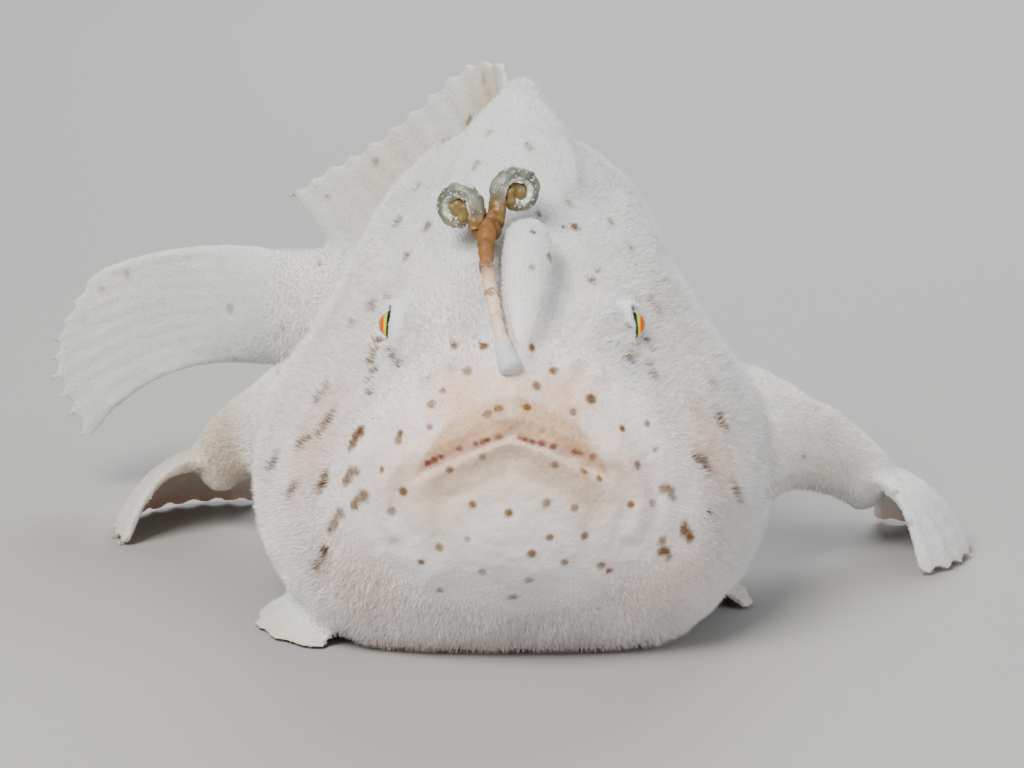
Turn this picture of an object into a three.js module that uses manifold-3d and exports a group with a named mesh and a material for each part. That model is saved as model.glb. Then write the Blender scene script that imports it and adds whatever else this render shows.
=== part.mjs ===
// A small white frogfish resting on the sea bed, life size, as a still display model.
// Millimetres, +Z up. The fish faces -Y, its left side is +X, and its tail curls round to its
// right. The origin is on the floor, in the middle of the flat of the belly.
import * as THREE from "three";
import { mergeVertices } from "three/addons/utils/BufferGeometryUtils.js";
import Module from "manifold-3d";

const wasm = await Module();
wasm.setup();

// Driving dimensions
const seam = 0.3; // clear gap between two neighbouring nodes
const lipsY = -16.3; // foremost point of the closed mouth
const straightLength = 24.3; // lips to the start of the curl, along the spine
const curlRadius = 16;
const curlAngle = THREE.MathUtils.degToRad(75);
const stalkLength = 4; // straight end of the tail stalk
const spineLength = straightLength + curlRadius * curlAngle + stalkLength;
const domeLength = 8.3; // depth over which the face rounds off to the lips
const domePower = 2.2;

// Cross sections of the body along the spine, at a distance from the lips. The half width is
// reached at height mid, and the outline runs from top to bottom. The three fullness values are
// the powers of the curve below mid, on the flanks above it, and at the crown: 2 is an ellipse,
// more is boxier and less is more pointed.
const sections = [
  { at: 0, half: 11.2, mid: 12.0, top: 21.4, bottom: 2.4, lower: 2.2, flank: 2.1, crown: 2.1 },
  { at: 3.3, half: 12.2, mid: 10.6, top: 21.5, bottom: 0.9, lower: 2.9, flank: 1.95, crown: 2.0 },
  { at: 6.3, half: 13.2, mid: 9.2, top: 21.8, bottom: -0.3, lower: 3.6, flank: 1.66, crown: 1.9 },
  { at: 8.3, half: 13.9, mid: 8.4, top: 22.6, bottom: -0.3, lower: 3.6, flank: 1.52, crown: 1.8 },
  { at: 11.5, half: 15.0, mid: 7.8, top: 24.5, bottom: -0.3, lower: 3.5, flank: 1.44, crown: 1.75 },
  { at: 16.3, half: 16.2, mid: 7.6, top: 27.6, bottom: -0.3, lower: 3.3, flank: 1.38, crown: 1.72 },
  { at: 19.3, half: 16.5, mid: 7.8, top: 29.2, bottom: -0.3, lower: 3.0, flank: 1.38, crown: 1.74 },
  { at: 23.3, half: 15.9, mid: 8.2, top: 29.9, bottom: -0.1, lower: 2.8, flank: 1.38, crown: 1.8 },
  { at: 26.5, half: 14.4, mid: 9.0, top: 28.8, bottom: 0.5, lower: 2.6, flank: 1.5, crown: 1.85 },
  { at: 30.5, half: 11.4, mid: 10.0, top: 25.6, bottom: 2.0, lower: 2.4, flank: 1.75, crown: 1.95 },
  { at: 34.5, half: 8.0, mid: 11.2, top: 22.0, bottom: 4.2, lower: 2.2, flank: 2.0, crown: 2.0 },
  { at: 38.5, half: 5.2, mid: 12.4, top: 19.4, bottom: 6.4, lower: 2.0, flank: 2.0, crown: 2.0 },
  { at: 42.5, half: 3.5, mid: 13.2, top: 18.2, bottom: 8.3, lower: 2.0, flank: 2.0, crown: 2.0 },
  { at: 46.0, half: 2.6, mid: 13.6, top: 17.8, bottom: 9.3, lower: 2.0, flank: 2.0, crown: 2.0 },
  { at: spineLength, half: 2.0, mid: 13.6, top: 17.9, bottom: 9.2, lower: 2.0, flank: 2.0, crown: 2.0 },
];

// Soft swellings and hollows of the skin: where, how wide and how high. Each is made on both
// sides, and one on the middle line only once.
const swellings = [
  { place: [5.4, -8.4, 21.6], radius: 2.3, height: 0.8 }, // brow
  { place: [7.2, -6.0, 19.5], radius: 2.0, height: 0.25 }, // eye socket
  { place: [0, -9.5, 21.6], radius: 1.9, height: -0.7 }, // groove of the lure
  { place: [0, -6.0, 23.4], radius: 1.9, height: -0.5 },
  { place: [0, -15.2, 18.2], radius: 1.7, height: 0.6 }, // snout
  { place: [4.6, -14.0, 17.0], radius: 2.2, height: -0.35 }, // beside the snout
  { place: [9.0, -10.5, 9.0], radius: 3.2, height: 0.5 }, // jowl
  { place: [0, -15.8, 8.6], radius: 3.6, height: 0.5 }, // chin
  { place: [14.6, 7.5, 11.5], radius: 3.6, height: 0.9 }, // shoulder
];

// Mouth, as seen from in front: the closed line from its middle to the corner, and the
// rest of the lower jaw's outline below the corner
const mouthLine = [[0, 15.55], [1.6, 15.15], [3.1, 14.3], [4.9, 13.3], [6.2, 12.0], [6.8, 10.2], [6.8, 8.2]];
const jawEdge = [[6.2, 5.6], [4.0, 3.8], [0, 3.1]];
const jawMiddleZ = 9;
const jawDepthY = -9.5; // how far back the lower jaw reaches
const upperLip = { out: 0.8, sizes: [1.0, 0.92, 0.8, 0.66, 0.48, 0.3] };
const lowerLip = { out: -0.75, sizes: [0.85, 0.75, 0.6, 0.4] };

const eye = { place: [6.9, -5.9, 19.5], radius: 1.05, lidRadius: 1.02, lidThick: 0.32 };
const nostrils = [[3.6, 18.9], [5.0, 18.1]];
const headCut = { bottomY: -5.5, slope: 0.25 }; // plane between head and trunk
const tailCutAt = 36.5; // distance from the lips where the tail stalk begins
const gillPore = { place: [14.9, 12.4, 5.0], radius: 1.2 }; // below and behind the arm

// Lure: the rod lies back along the right side of the second spine. Each worm leaves one side of
// the rod's tip and rolls up by less than a full turn, so that it never touches itself.
const rodStart = [-0.15, -14.3, 19.1];
const rodEnd = [-1.5, -5.9, 25.5];
const rodPath = [rodStart, [-0.65, -13.1, 20.35], [-1.15, -10.9, 22.15], [-1.55, -8.2, 24.0], rodEnd];
const rodSizes = [0.85, 0.46, 0.42, 0.5, 0.64];
const rightWorm = { root: [-2.15, -5.75, 25.3], centre: [-3.2, -4.95, 26.5], turn: -0.5, start: -10, way: 1 };
const leftWorm = { root: [-0.95, -5.6, 25.75], centre: [0.3, -3.9, 27.3], turn: 0.35, start: 190, way: -1 };
const wormRadius = 1.3; // of the roll's outer end
const wormThick = 0.44;
const wormRise = 0.6; // share of its first stretch in which a worm turns up into its roll
const wormTurns = 0.84;

const secondSpine = {
  path: [[0.3, -13.6, 19.2], [0.6, -11.6, 21.0], [0.85, -8.6, 23.5], [0.9, -6.2, 25.0]],
  wide: [0.75, 1.35, 1.85, 1.75],
  tall: [0.85, 1.4, 1.65, 1.45],
};
const thirdSpine = {
  path: [[0, 0.5, 22.5], [0.2, 3.6, 26.4], [0.4, 6.6, 29.4], [0.6, 8.5, 31.0]],
  wide: [6.0, 5.4, 3.2, 1.6],
  tall: [5.0, 3.9, 2.5, 1.5],
};

// Middle fins: where they sit along the spine, how far the rays reach and how they lean
const softDorsal = { from: 26.2, to: 45.2, rays: 12, heights: [4.4, 6.9, 7.5, 7.1, 6.2, 4.6], lean: 0.75 };
const analFin = { from: 34.6, to: 44.6, rays: 7, heights: [3.6, 5.4, 6.2, 5.6], lean: 0.9 };
const caudalFin = {
  rays: 9,
  topRay: [[0, 17.5], [6.6, 18.4], [12.6, 15.6]],
  bottomRay: [[0, 9.5], [8.4, 10.4], [13.2, 3.4]],
  bulge: 2.6, // how far the middle rays pass the straight line between the outer tips
  curl: 2.6,
};
const membraneHalf = 0.26;
const rayRise = 0.24;

// Paired fins of the left side. The right ones are mirrored and turned a little.
const arm = {
  path: [[10.5, 6.2, 8.6], [14.6, 8.0, 8.6], [18.2, 10.2, 7.9], [21.2, 11.8, 6.4], [23.4, 12.6, 4.6]],
  wide: [3.6, 3.8, 2.9, 2.2, 1.5],
  tall: [5.6, 5.4, 3.4, 2.7, 2.2],
  swing: { left: 0, right: 0.42 },
  turn: { left: -0.2, right: -0.1 },
};
const hand = { rays: 10, spread: 2.5, reach: 6.6, knuckle: 5.6, drop: -0.12, size: 1.5, lift: 0.5 };
const foot = {
  path: [[5.0, -2.2, 3.4], [7.2, -3.0, 2.6], [9.4, -3.6, 2.0]],
  wide: [2.2, 1.9, 1.5],
  tall: [1.8, 1.5, 1.1],
  swing: { left: 0.95, right: 0 },
  turn: { left: 0.1, right: 0.1 },
};
const toes = { rays: 5, spread: 1.9, reach: 6.6, knuckle: 1.9, drop: -0.12, size: 1.0, lift: 0.3 };

// Colours from the photograph
const finish = (color, roughness) => new THREE.MeshStandardMaterial({ color, roughness, metalness: 0 });
const skinWhite = finish(0xe6e0dc, 0.75);
const jawPink = finish(0xecd9cf, 0.7);
const finGrey = finish(0xc9ccc6, 0.7);
const wormOlive = finish(0x8c8c74, 0.6);
const rodOchre = finish(0xb98a5c, 0.6);
const eyeGold = finish(0xe0a020, 0.15);

// Small helpers
const vec = (p) => new THREE.Vector3(...p);
const mix = THREE.MathUtils.lerp;
const mirrored = (p) => [-p[0], p[1], p[2]];

// A value that runs smoothly through a list of numbers as t goes from 0 to 1
function along(list, t) {
  const x = t * (list.length - 1);
  const i = Math.min(Math.floor(x), list.length - 2);
  const value = (k) => list[Math.max(0, Math.min(list.length - 1, k))];
  const f = x - i;
  const [a, b, c, d] = [value(i - 1), value(i), value(i + 1), value(i + 2)];
  return b + 0.5 * f * (c - a + f * (2 * a - 5 * b + 4 * c - d + f * (3 * (b - c) + d - a)));
}

// One size of the body's section at a distance from the lips, joined by smooth steps
function sectionSize(key, at) {
  let i = 0;
  while (i < sections.length - 2 && at > sections[i + 1].at) i++;
  const pick = (k) => sections[Math.max(0, Math.min(sections.length - 1, k))];
  const [p0, p1, p2, p3] = [pick(i - 1), pick(i), pick(i + 1), pick(i + 2)];
  const span = p2.at - p1.at;
  const f = THREE.MathUtils.clamp((at - p1.at) / span, 0, 1);
  const slope = (a, b) => (b.at === a.at ? 0 : ((b[key] - a[key]) / (b.at - a.at)) * span);
  const [m1, m2] = [slope(p0, p2), slope(p1, p3)];
  const [v1, v2] = [p1[key], p2[key]];
  return v1 + f * m1 + f * f * (3 * (v2 - v1) - 2 * m1 - m2) + f * f * f * (2 * (v1 - v2) + m1 + m2);
}

// Place and heading of the spine at a distance from the lips: straight, curled, straight
function spine(at) {
  const bend = THREE.MathUtils.clamp(at - straightLength, 0, curlRadius * curlAngle);
  const turn = bend / curlRadius;
  const rest = at - straightLength - bend;
  const ahead = vec([-Math.sin(turn), Math.cos(turn), 0]);
  const left = vec([Math.cos(turn), Math.sin(turn), 0]);
  const bendStart = vec([0, lipsY + straightLength, 0]);
  const point = bendStart
    .add(vec([curlRadius * (Math.cos(turn) - 1), curlRadius * Math.sin(turn), 0]))
    .addScaledVector(ahead, rest);
  return { point, ahead, left };
}

// A point on the body's plain outline, before its swellings
function bodyPoint(at, angle) {
  const [half, mid, top, bottom] = ["half", "mid", "top", "bottom"].map((key) => sectionSize(key, at));
  const deep = Math.max(0, 1 - at / domeLength);
  const dome = Math.pow(1 - Math.pow(deep, domePower), 1 / domePower);
  const [c, s] = [Math.cos(angle), Math.sin(angle)];
  const height = (s > 0 ? top - mid : mid - bottom) * dome;
  const peak = THREE.MathUtils.smoothstep(s, 0.72, 1);
  const upper = mix(sectionSize("flank", at), sectionSize("crown", at), peak);
  const power = s > 0 ? upper : sectionSize("lower", at);
  const reach = Math.pow(
    Math.pow(Math.abs(c) / (half * dome), power) + Math.pow(Math.abs(s) / height, power),
    -1 / power,
  );
  const { point, left } = spine(at);
  return point.addScaledVector(left, reach * c).setZ(mid + reach * s);
}

// Turns a closed mesh's faces outwards
function outward(geometry) {
  const p = geometry.getAttribute("position");
  const index = geometry.index.array;
  const corner = (i) => new THREE.Vector3().fromBufferAttribute(p, index[i]);
  let volume = 0;
  for (let i = 0; i < index.length; i += 3) volume += corner(i).dot(corner(i + 1).cross(corner(i + 2)));
  if (volume < 0) index.reverse();
  return geometry;
}

function geometryOf(points, faces) {
  const geometry = new THREE.BufferGeometry().setFromPoints(points);
  geometry.setIndex(faces);
  return outward(geometry);
}

// A closed surface through rings of points. A ring of one point is a pole, and an open end is
// closed round its middle.
function loft(rings) {
  const middle = (ring) => ring.reduce((sum, p) => sum.add(p), vec([0, 0, 0])).divideScalar(ring.length);
  const all = [...rings];
  if (all[0].length > 1) all.unshift([middle(all[0])]);
  if (all.at(-1).length > 1) all.push([middle(all.at(-1))]);
  const points = all.flat();
  const faces = [];
  let start = 0;
  for (let i = 0; i + 1 < all.length; i++) {
    const [n, m] = [all[i].length, all[i + 1].length];
    const next = start + n;
    for (let k = 0; k < Math.max(n, m); k++) {
      const [a, b] = [start + (k % n), start + ((k + 1) % n)];
      const [c, d] = [next + (k % m), next + ((k + 1) % m)];
      if (n > 1) faces.push(a, b, c);
      if (m > 1) faces.push(b % next < start ? a : b, d, c);
    }
    start = next;
  }
  return geometryOf(points, faces);
}

// A round limb along a path, oval in section, rounded off past its end if asked
function limb(path, wide, tall, { steps = 8, around = 12, up = [0, 0, 1], round = true } = {}) {
  const curve = new THREE.CatmullRomCurve3(path.map(vec), false, "catmullrom", 0.5);
  const ring = (centre, ahead, a, b) => {
    const side = new THREE.Vector3().crossVectors(ahead, vec(up)).normalize();
    const over = new THREE.Vector3().crossVectors(side, ahead);
    return Array.from({ length: around }, (_, k) => {
      const angle = (2 * Math.PI * k) / around;
      const out = side.clone().multiplyScalar(a * Math.cos(angle));
      return out.addScaledVector(over, b * Math.sin(angle)).add(centre);
    });
  };
  const rings = [];
  for (let i = 0; i <= steps; i++) {
    const t = i / steps;
    rings.push(ring(curve.getPoint(t), curve.getTangent(t), along(wide, t), along(tall, t)));
  }
  if (round) {
    const [tip, ahead, a, b] = [curve.getPoint(1), curve.getTangent(1), wide.at(-1), tall.at(-1)];
    const reach = Math.min(a, b);
    for (const angle of [Math.PI / 6, Math.PI / 3]) {
      const centre = tip.clone().addScaledVector(ahead, reach * Math.sin(angle));
      rings.push(ring(centre, ahead, a * Math.cos(angle), b * Math.cos(angle)));
    }
    rings.push([tip.clone().addScaledVector(ahead, reach)]);
  }
  return loft(rings);
}

// A thin fin over a middle surface, with its rays raised on both faces alike. The surface is
// given for u from root to margin and v across the rays, and so is half its thickness.
function finSheet(rays, steps, surface, halfAt) {
  const columns = 2 * rays;
  const point = (i, j) => surface(i / steps, j / columns);
  const faces = [];
  const [front, back] = [[], []];
  const step = 1e-3;
  for (let i = 0; i <= steps; i++) {
    for (let j = 0; j <= columns; j++) {
      const [u, v] = [i / steps, j / columns];
      const alongRay = surface(Math.min(1, u + step), v).sub(surface(Math.max(0, u - step), v));
      const acrossRays = surface(u, Math.min(1, v + step)).sub(surface(u, Math.max(0, v - step)));
      const normal = alongRay.cross(acrossRays).normalize();
      front.push(point(i, j).addScaledVector(normal, halfAt(u, v)));
      back.push(point(i, j).addScaledVector(normal, -halfAt(u, v)));
    }
  }
  const row = columns + 1;
  const other = front.length;
  const quad = (a, b, c, d) => faces.push(a, b, c, a, c, d);
  for (let i = 0; i < steps; i++) {
    for (let j = 0; j < columns; j++) {
      const [a, b, c, d] = [i * row + j, i * row + j + 1, (i + 1) * row + j + 1, (i + 1) * row + j];
      quad(a, b, c, d);
      faces.push(other + a, other + c, other + b, other + a, other + d, other + c);
    }
  }
  for (let j = 0; j < columns; j++) {
    const last = steps * row + j;
    quad(j, other + j, other + j + 1, j + 1);
    quad(last + 1, other + last + 1, other + last, last);
  }
  for (let i = 0; i < steps; i++) {
    const [a, b] = [i * row, (i + 1) * row];
    const [c, d] = [a + columns, b + columns];
    quad(b, other + b, other + a, a);
    quad(c, other + c, other + d, d);
  }
  return geometryOf([...front, ...back], faces);
}

// Half the thickness of a fin: full at the root, then membrane with a ridge on each ray
const crest = (rays, v) => Math.sin(Math.PI * v * rays) ** 2;
function finHalf(rays, rootHalf, fade = 0.35) {
  return (u, v) => {
    const blade = membraneHalf + rayRise * crest(rays, v) * (1 - 0.5 * u);
    const root = typeof rootHalf === "function" ? rootHalf(v) : rootHalf;
    return mix(Math.max(root, blade), blade, THREE.MathUtils.smoothstep(u, 0, fade));
  };
}

// Solids
const solidOf = (geometry) => {
  const plain = new THREE.BufferGeometry().setAttribute("position", geometry.getAttribute("position"));
  plain.setIndex(geometry.index);
  const merged = mergeVertices(plain, 1e-4);
  const vertProperties = merged.getAttribute("position").array;
  const triVerts = new Uint32Array(merged.index.array);
  return new wasm.Manifold(new wasm.Mesh({ numProp: 3, vertProperties, triVerts }));
};
const joined = (solids) => solids.reduce((sum, one) => sum.add(one));
const largest = (solid) => solid.decompose().reduce((a, b) => (b.volume() > a.volume() ? b : a));

// Keeps what lies on the side of a plane that the normal points to
function keepSide(solid, normal, place, clear) {
  const n = vec(normal).normalize();
  return solid.trimByPlane(n.toArray(), n.dot(vec(place)) + clear);
}
const aboveFloor = (solid) => solid.trimByPlane([0, 0, 1], 0);

// The whole body, its skin pushed out by the swellings and by a clearance
function bodyGeometry() {
  const around = 46;
  const [faceRings, bodyRings] = [13, 27];
  const stations = [];
  for (let i = 1; i <= faceRings; i++) stations.push(domeLength * (i / faceRings) ** 1.9);
  for (let i = 1; i <= bodyRings; i++) stations.push(mix(domeLength, spineLength, i / bodyRings));
  const angles = Array.from({ length: around }, (_, k) => (2 * Math.PI * (k + 0.5)) / around);
  const ring = (at) => angles.map((angle) => bodyPoint(at, angle));
  const geometry = loft([[vec([0, lipsY, sections[0].mid])], ...stations.map(ring)]);
  geometry.computeVertexNormals();
  pushOut(geometry, (p) => {
    const bump = (place, radius) => Math.exp(-p.distanceToSquared(vec(place)) / (radius * radius));
    return swellings.reduce((sum, { place, radius, height }) => {
      const twin = place[0] ? bump(mirrored(place), radius) : 0;
      return sum + height * (bump(place, radius) + twin);
    }, 0);
  });
  return geometry;
}

// Moves each point along its own normal
function pushOut(geometry, amount) {
  const [p, n] = [geometry.getAttribute("position"), geometry.getAttribute("normal")];
  for (let i = 0; i < p.count; i++) {
    const at = new THREE.Vector3().fromBufferAttribute(p, i);
    at.addScaledVector(new THREE.Vector3().fromBufferAttribute(n, i), amount(at));
    p.setXYZ(i, at.x, at.y, at.z);
  }
  geometry.computeVertexNormals();
}

const skin = bodyGeometry();
const body = solidOf(skin);
const clearSkin = skin.clone();
pushOut(clearSkin, () => seam);
const clearBody = solidOf(clearSkin);

// A point of the face as seen from in front, on the skin
const skinMesh = new THREE.Mesh(skin, new THREE.MeshBasicMaterial({ side: THREE.DoubleSide }));
const straightBack = vec([0, 1, 0]);
function onFace(x, z) {
  const ray = new THREE.Raycaster(vec([x, 4 * lipsY, z]), straightBack);
  return ray.intersectObject(skinMesh)[0];
}

// Mouth, lips and lower jaw
const bothSides = (half) => [...half.slice(1).reverse().map(([x, z]) => [-x, z]), ...half];
const flat = ([x, z]) => new THREE.Vector2(x, z);

function jawBlock(grow) {
  const otherEdge = jawEdge.slice(0, -1).reverse().map(([x, z]) => [-x, z]);
  const outline = new THREE.SplineCurve([...bothSides(mouthLine), ...jawEdge, ...otherEdge].map(flat));
  outline.points.push(outline.points[0].clone());
  const middle = new THREE.Vector2(0, jawMiddleZ);
  const points = outline.getPoints(56).slice(0, -1).map((p) => {
    const out = p.clone().sub(middle).normalize();
    return p.addScaledVector(out, grow);
  });
  const depth = jawDepthY + grow - 4 * lipsY;
  const block = new THREE.ExtrudeGeometry(new THREE.Shape(points), { depth, bevelEnabled: false, steps: 1 });
  block.rotateX(-Math.PI / 2).scale(1, 1, -1).translate(0, 4 * lipsY, 0);
  return block;
}

function lip({ out, sizes }, line, steps) {
  const flatLine = new THREE.SplineCurve(bothSides(line).map(flat));
  const path = [];
  for (let i = 0; i <= steps; i++) {
    const t = i / steps;
    const tangent = flatLine.getTangent(t);
    const p = flatLine.getPoint(t).add(new THREE.Vector2(-tangent.y, tangent.x).multiplyScalar(out));
    const hit = onFace(p.x, p.y);
    path.push([p.x, hit.point.y + 0.2, p.y]);
  }
  const both = [...sizes.slice(1).reverse(), ...sizes];
  return limb(path, both, both.map((size) => size * 0.85), { steps, around: 8, up: [0, 1, 0] });
}

const keepIndexed = (geometry) => mergeVertices(stripped(geometry), 1e-4);
function stripped(geometry) {
  const plain = geometry.clone();
  for (const name of ["normal", "uv"]) plain.deleteAttribute(name);
  return plain;
}
const blockOf = (grow) => solidOf(outward(keepIndexed(jawBlock(grow))));

function ball(place, radius, around = 16) {
  const sphere = new THREE.SphereGeometry(radius, around, Math.round(around * 0.7)).rotateZ(Math.PI / 2);
  return sphere.translate(...place);
}
const ballSolid = (place, radius, around) => solidOf(outward(keepIndexed(ball(place, radius, around))));

// The rim of skin round an eye, square to the way the eye looks
function lidSolid(side) {
  const place = side > 0 ? eye.place : mirrored(eye.place);
  const look = vec([side * 0.93, -0.3, 0.2]).normalize();
  const rim = new THREE.TorusGeometry(eye.lidRadius, eye.lidThick, 7, 18);
  rim.applyQuaternion(new THREE.Quaternion().setFromUnitVectors(vec([0, 0, 1]), look));
  rim.translate(...vec(place).addScaledVector(look, eye.radius * 0.42).toArray());
  return solidOf(outward(keepIndexed(rim)));
}

// A short nostril tube with a pit, standing on the skin
function nostril(x, z) {
  const hit = onFace(x, z);
  const profile = [[0, -0.8], [0.55, -0.8], [0.5, 0.25], [0.38, 0.5], [0.2, 0.45], [0, 0.1]];
  const tube = new THREE.LatheGeometry(profile.map(flat), 9);
  tube.applyQuaternion(new THREE.Quaternion().setFromUnitVectors(vec([0, 1, 0]), hit.face.normal));
  tube.translate(...hit.point.toArray());
  return solidOf(outward(keepIndexed(tube)));
}

const headCutPlace = [0, headCut.bottomY, 0];
const headCutNormal = [0, 1, -headCut.slope];
const tailCut = spine(tailCutAt);

function headSolid() {
  const front = keepSide(body, headCutNormal.map((x) => -x), headCutPlace, seam / 2);
  const extras = [lip(upperLip, mouthLine, 22)].map(solidOf);
  for (const side of [-1, 1]) {
    extras.push(lidSolid(side), ...nostrils.map(([x, z]) => nostril(side * x, z)));
  }
  let head = joined([front, ...extras]).subtract(blockOf(seam / 2));
  for (const side of [-1, 1]) {
    const place = side > 0 ? eye.place : mirrored(eye.place);
    head = head.subtract(ballSolid(place, eye.radius + seam, 18));
  }
  return largest(aboveFloor(head));
}

function jawSolid() {
  const front = keepSide(body, headCutNormal.map((x) => -x), headCutPlace, seam / 2);
  const whole = front.add(solidOf(lip(lowerLip, mouthLine.slice(0, 5), 14)));
  return largest(whole.intersect(blockOf(-seam / 2)));
}

function trunkSolid() {
  const behindHead = keepSide(body, headCutNormal, headCutPlace, seam / 2);
  const start = tailCut.point.toArray();
  const back = tailCut.ahead.clone().negate().toArray();
  const before = keepSide(behindHead, back, start, seam / 2);
  let trunk = aboveFloor(before);
  for (const side of [-1, 1]) {
    const [x, y, z] = gillPore.place;
    trunk = trunk.subtract(ballSolid([side * x, y, z], gillPore.radius, 10));
  }
  return largest(trunk);
}

function tailSolid() {
  return largest(keepSide(body, tailCut.ahead.toArray(), tailCut.point.toArray(), seam / 2));
}

// Fins on the middle line
function middleFin({ from, to, rays, heights, lean }, upward, rootHalf) {
  const sunk = 1.4;
  const surface = (u, v) => {
    const at = mix(from, to, v);
    const { point, ahead } = spine(at);
    const edge = sectionSize(upward > 0 ? "top" : "bottom", at);
    const incised = 1 - 0.07 * (1 - crest(rays, v)) * u;
    const height = along(heights, v) * u * incised;
    const swept = lean * height * (0.35 + 0.65 * u) * mix(0.7, 1, v);
    return spine(at + swept).point.setZ(edge - upward * sunk * (1 - u) + upward * height * mix(1, 0.82, u));
  };
  return finSheet(rays, 6, surface, finHalf(rays, rootHalf));
}

const bezier = (a, b, c, t) => (1 - t) ** 2 * a + 2 * t * (1 - t) * b + t * t * c;

function caudalSolid() {
  const { rays, topRay, bottomRay, bulge, curl } = caudalFin;
  const { top, bottom, mid, half } = sections.at(-1);
  const reachMost = 16;
  const surface = (u, v) => {
    const control = (k, axis) => mix(topRay[k][axis], bottomRay[k][axis], v);
    const full = Math.sin(Math.PI * v) * bulge;
    const incised = 1 - 0.06 * (1 - crest(rays, v)) * u;
    const t = u * incised;
    const out = bezier(control(0, 0), control(1, 0), control(2, 0) + full, t);
    const z = bezier(control(0, 1), control(1, 1), control(2, 1), t);
    const { point, left } = spine(spineLength + seam + out);
    return point.addScaledVector(left, -curl * (out / reachMost) ** 2).setZ(z);
  };
  const rootHalf = (v) => {
    const z = mix(topRay[0][1], bottomRay[0][1], v);
    const share = z > mid ? (z - mid) / (top - mid) : (mid - z) / (mid - bottom);
    return half * Math.sqrt(Math.max(0.03, 1 - share * share));
  };
  return solidOf(finSheet(rays, 8, surface, finHalf(rays, rootHalf, 0.5)));
}

// Paired fins: rays fan out from a wrist and bend down to the floor like fingers
function fanOfRays({ rays, spread, reach, knuckle, drop, size, lift }, wrist, heading) {
  const surface = (u, v) => {
    const angle = heading + mix(-0.5, 0.5, v) * spread;
    const out = vec([Math.cos(angle), Math.sin(angle), 0]);
    const across = vec([-Math.sin(heading), Math.cos(heading), 0]);
    const root = vec(wrist).addScaledVector(across, mix(-1, 1, v) * size);
    const long = reach * (0.86 + 0.14 * Math.sin(Math.PI * v));
    const over = root.clone().addScaledVector(out, long * 0.62).setZ(knuckle);
    const tip = root.clone().addScaledVector(out, long).setZ(drop);
    const t = u * (1 - 0.05 * (1 - crest(rays, v)) * u);
    root.z += lift * (1 - 2 * Math.abs(v - 0.5));
    const part = (axis) => bezier(root[axis], over[axis], tip[axis], t);
    return vec([part("x"), part("y"), part("z")]);
  };
  return solidOf(finSheet(rays, 7, surface, finHalf(rays, 0.7, 0.4)));
}

function limbPath({ path, swing }, name, side) {
  const root = vec(path[0]);
  const swung = (p) => vec(p).sub(root).applyAxisAngle(vec([0, 0, 1]), swing[name]).add(root).toArray();
  return path.map((p) => (side > 0 ? swung(p) : mirrored(swung(p))));
}

function armSolids(name, side) {
  const path = limbPath(arm, name, side);
  const whole = solidOf(limb(path, arm.wide, arm.tall, { steps: 10, around: 14 }));
  const [elbow, wrist] = [vec(path.at(-2)), vec(path.at(-1))];
  const ahead = wrist.clone().sub(elbow).normalize();
  const place = wrist.clone().addScaledVector(ahead, -0.6).toArray();
  const upperArm = keepSide(whole.subtract(clearBody), ahead.clone().negate().toArray(), place, seam / 2);
  const heading = Math.atan2(ahead.y, ahead.x) + side * arm.turn[name];
  const fan = fanOfRays(hand, path.at(-1), heading);
  const palm = keepSide(whole.add(fan), ahead.toArray(), place, seam / 2);
  return [largest(upperArm), largest(aboveFloor(palm))];
}

function footSolid(name, side) {
  const path = limbPath(foot, name, side);
  const leg = solidOf(limb(path, foot.wide, foot.tall, { steps: 5, around: 10 }));
  const ahead = vec(path.at(-1)).sub(vec(path[0]));
  const heading = Math.atan2(ahead.y, ahead.x) + side * foot.turn[name];
  const fan = fanOfRays(toes, path.at(-1), heading);
  return largest(aboveFloor(leg.add(fan).subtract(clearBody)));
}

// A worm of the lure: from beside the rod's tip into a flat roll that turns inwards
function wormSolid({ root, centre, turn, start, way }) {
  const steps = 20;
  const roll = (t) => {
    const angle = THREE.MathUtils.degToRad(start) + 2 * Math.PI * wormTurns * t * way;
    const r = wormRadius * (1 - 0.55 * t);
    const [across, up] = [r * Math.cos(angle), r * Math.sin(angle)];
    return [centre[0] + across * Math.cos(turn), centre[1] + across * Math.sin(turn), centre[2] + up];
  };
  const first = roll(0);
  const below = [first[0], first[1], mix(first[2], root[2], wormRise)];
  const lead = (t) => [0, 1, 2].map((axis) => bezier(root[axis], below[axis], first[axis], t));
  const rise = [0, 0.25, 0.5, 0.75].map(lead);
  const path = [...rise];
  const sizes = rise.map(() => wormThick);
  for (let i = 0; i <= steps; i++) {
    path.push(roll(i / steps));
    sizes.push(wormThick * (1 - (0.4 * i) / steps));
  }
  const options = { steps: path.length - 1, around: 8, up: [Math.sin(turn), -Math.cos(turn), 0] };
  return solidOf(limb(path, sizes, sizes, options));
}

// The nodes
const model = new THREE.Group();
function place(name, solid, material) {
  const { vertProperties, triVerts } = solid.getMesh();
  const geometry = new THREE.BufferGeometry();
  geometry.setAttribute("position", new THREE.BufferAttribute(vertProperties, 3));
  geometry.setIndex(new THREE.BufferAttribute(triVerts, 1));
  geometry.computeVertexNormals();
  const mesh = new THREE.Mesh(geometry, material);
  mesh.name = name;
  model.add(mesh);
}

const grown = (geometry, amount) => {
  const copy = geometry.clone();
  copy.computeVertexNormals();
  pushOut(copy, () => amount);
  return solidOf(copy);
};

place("head", headSolid(), skinWhite);
place("lower_jaw", jawSolid(), jawPink);
place("trunk", trunkSolid(), skinWhite);
place("tail_stalk", tailSolid(), skinWhite);
place("eye_left", ballSolid(eye.place, eye.radius), eyeGold);
place("eye_right", ballSolid(mirrored(eye.place), eye.radius), eyeGold);

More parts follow.
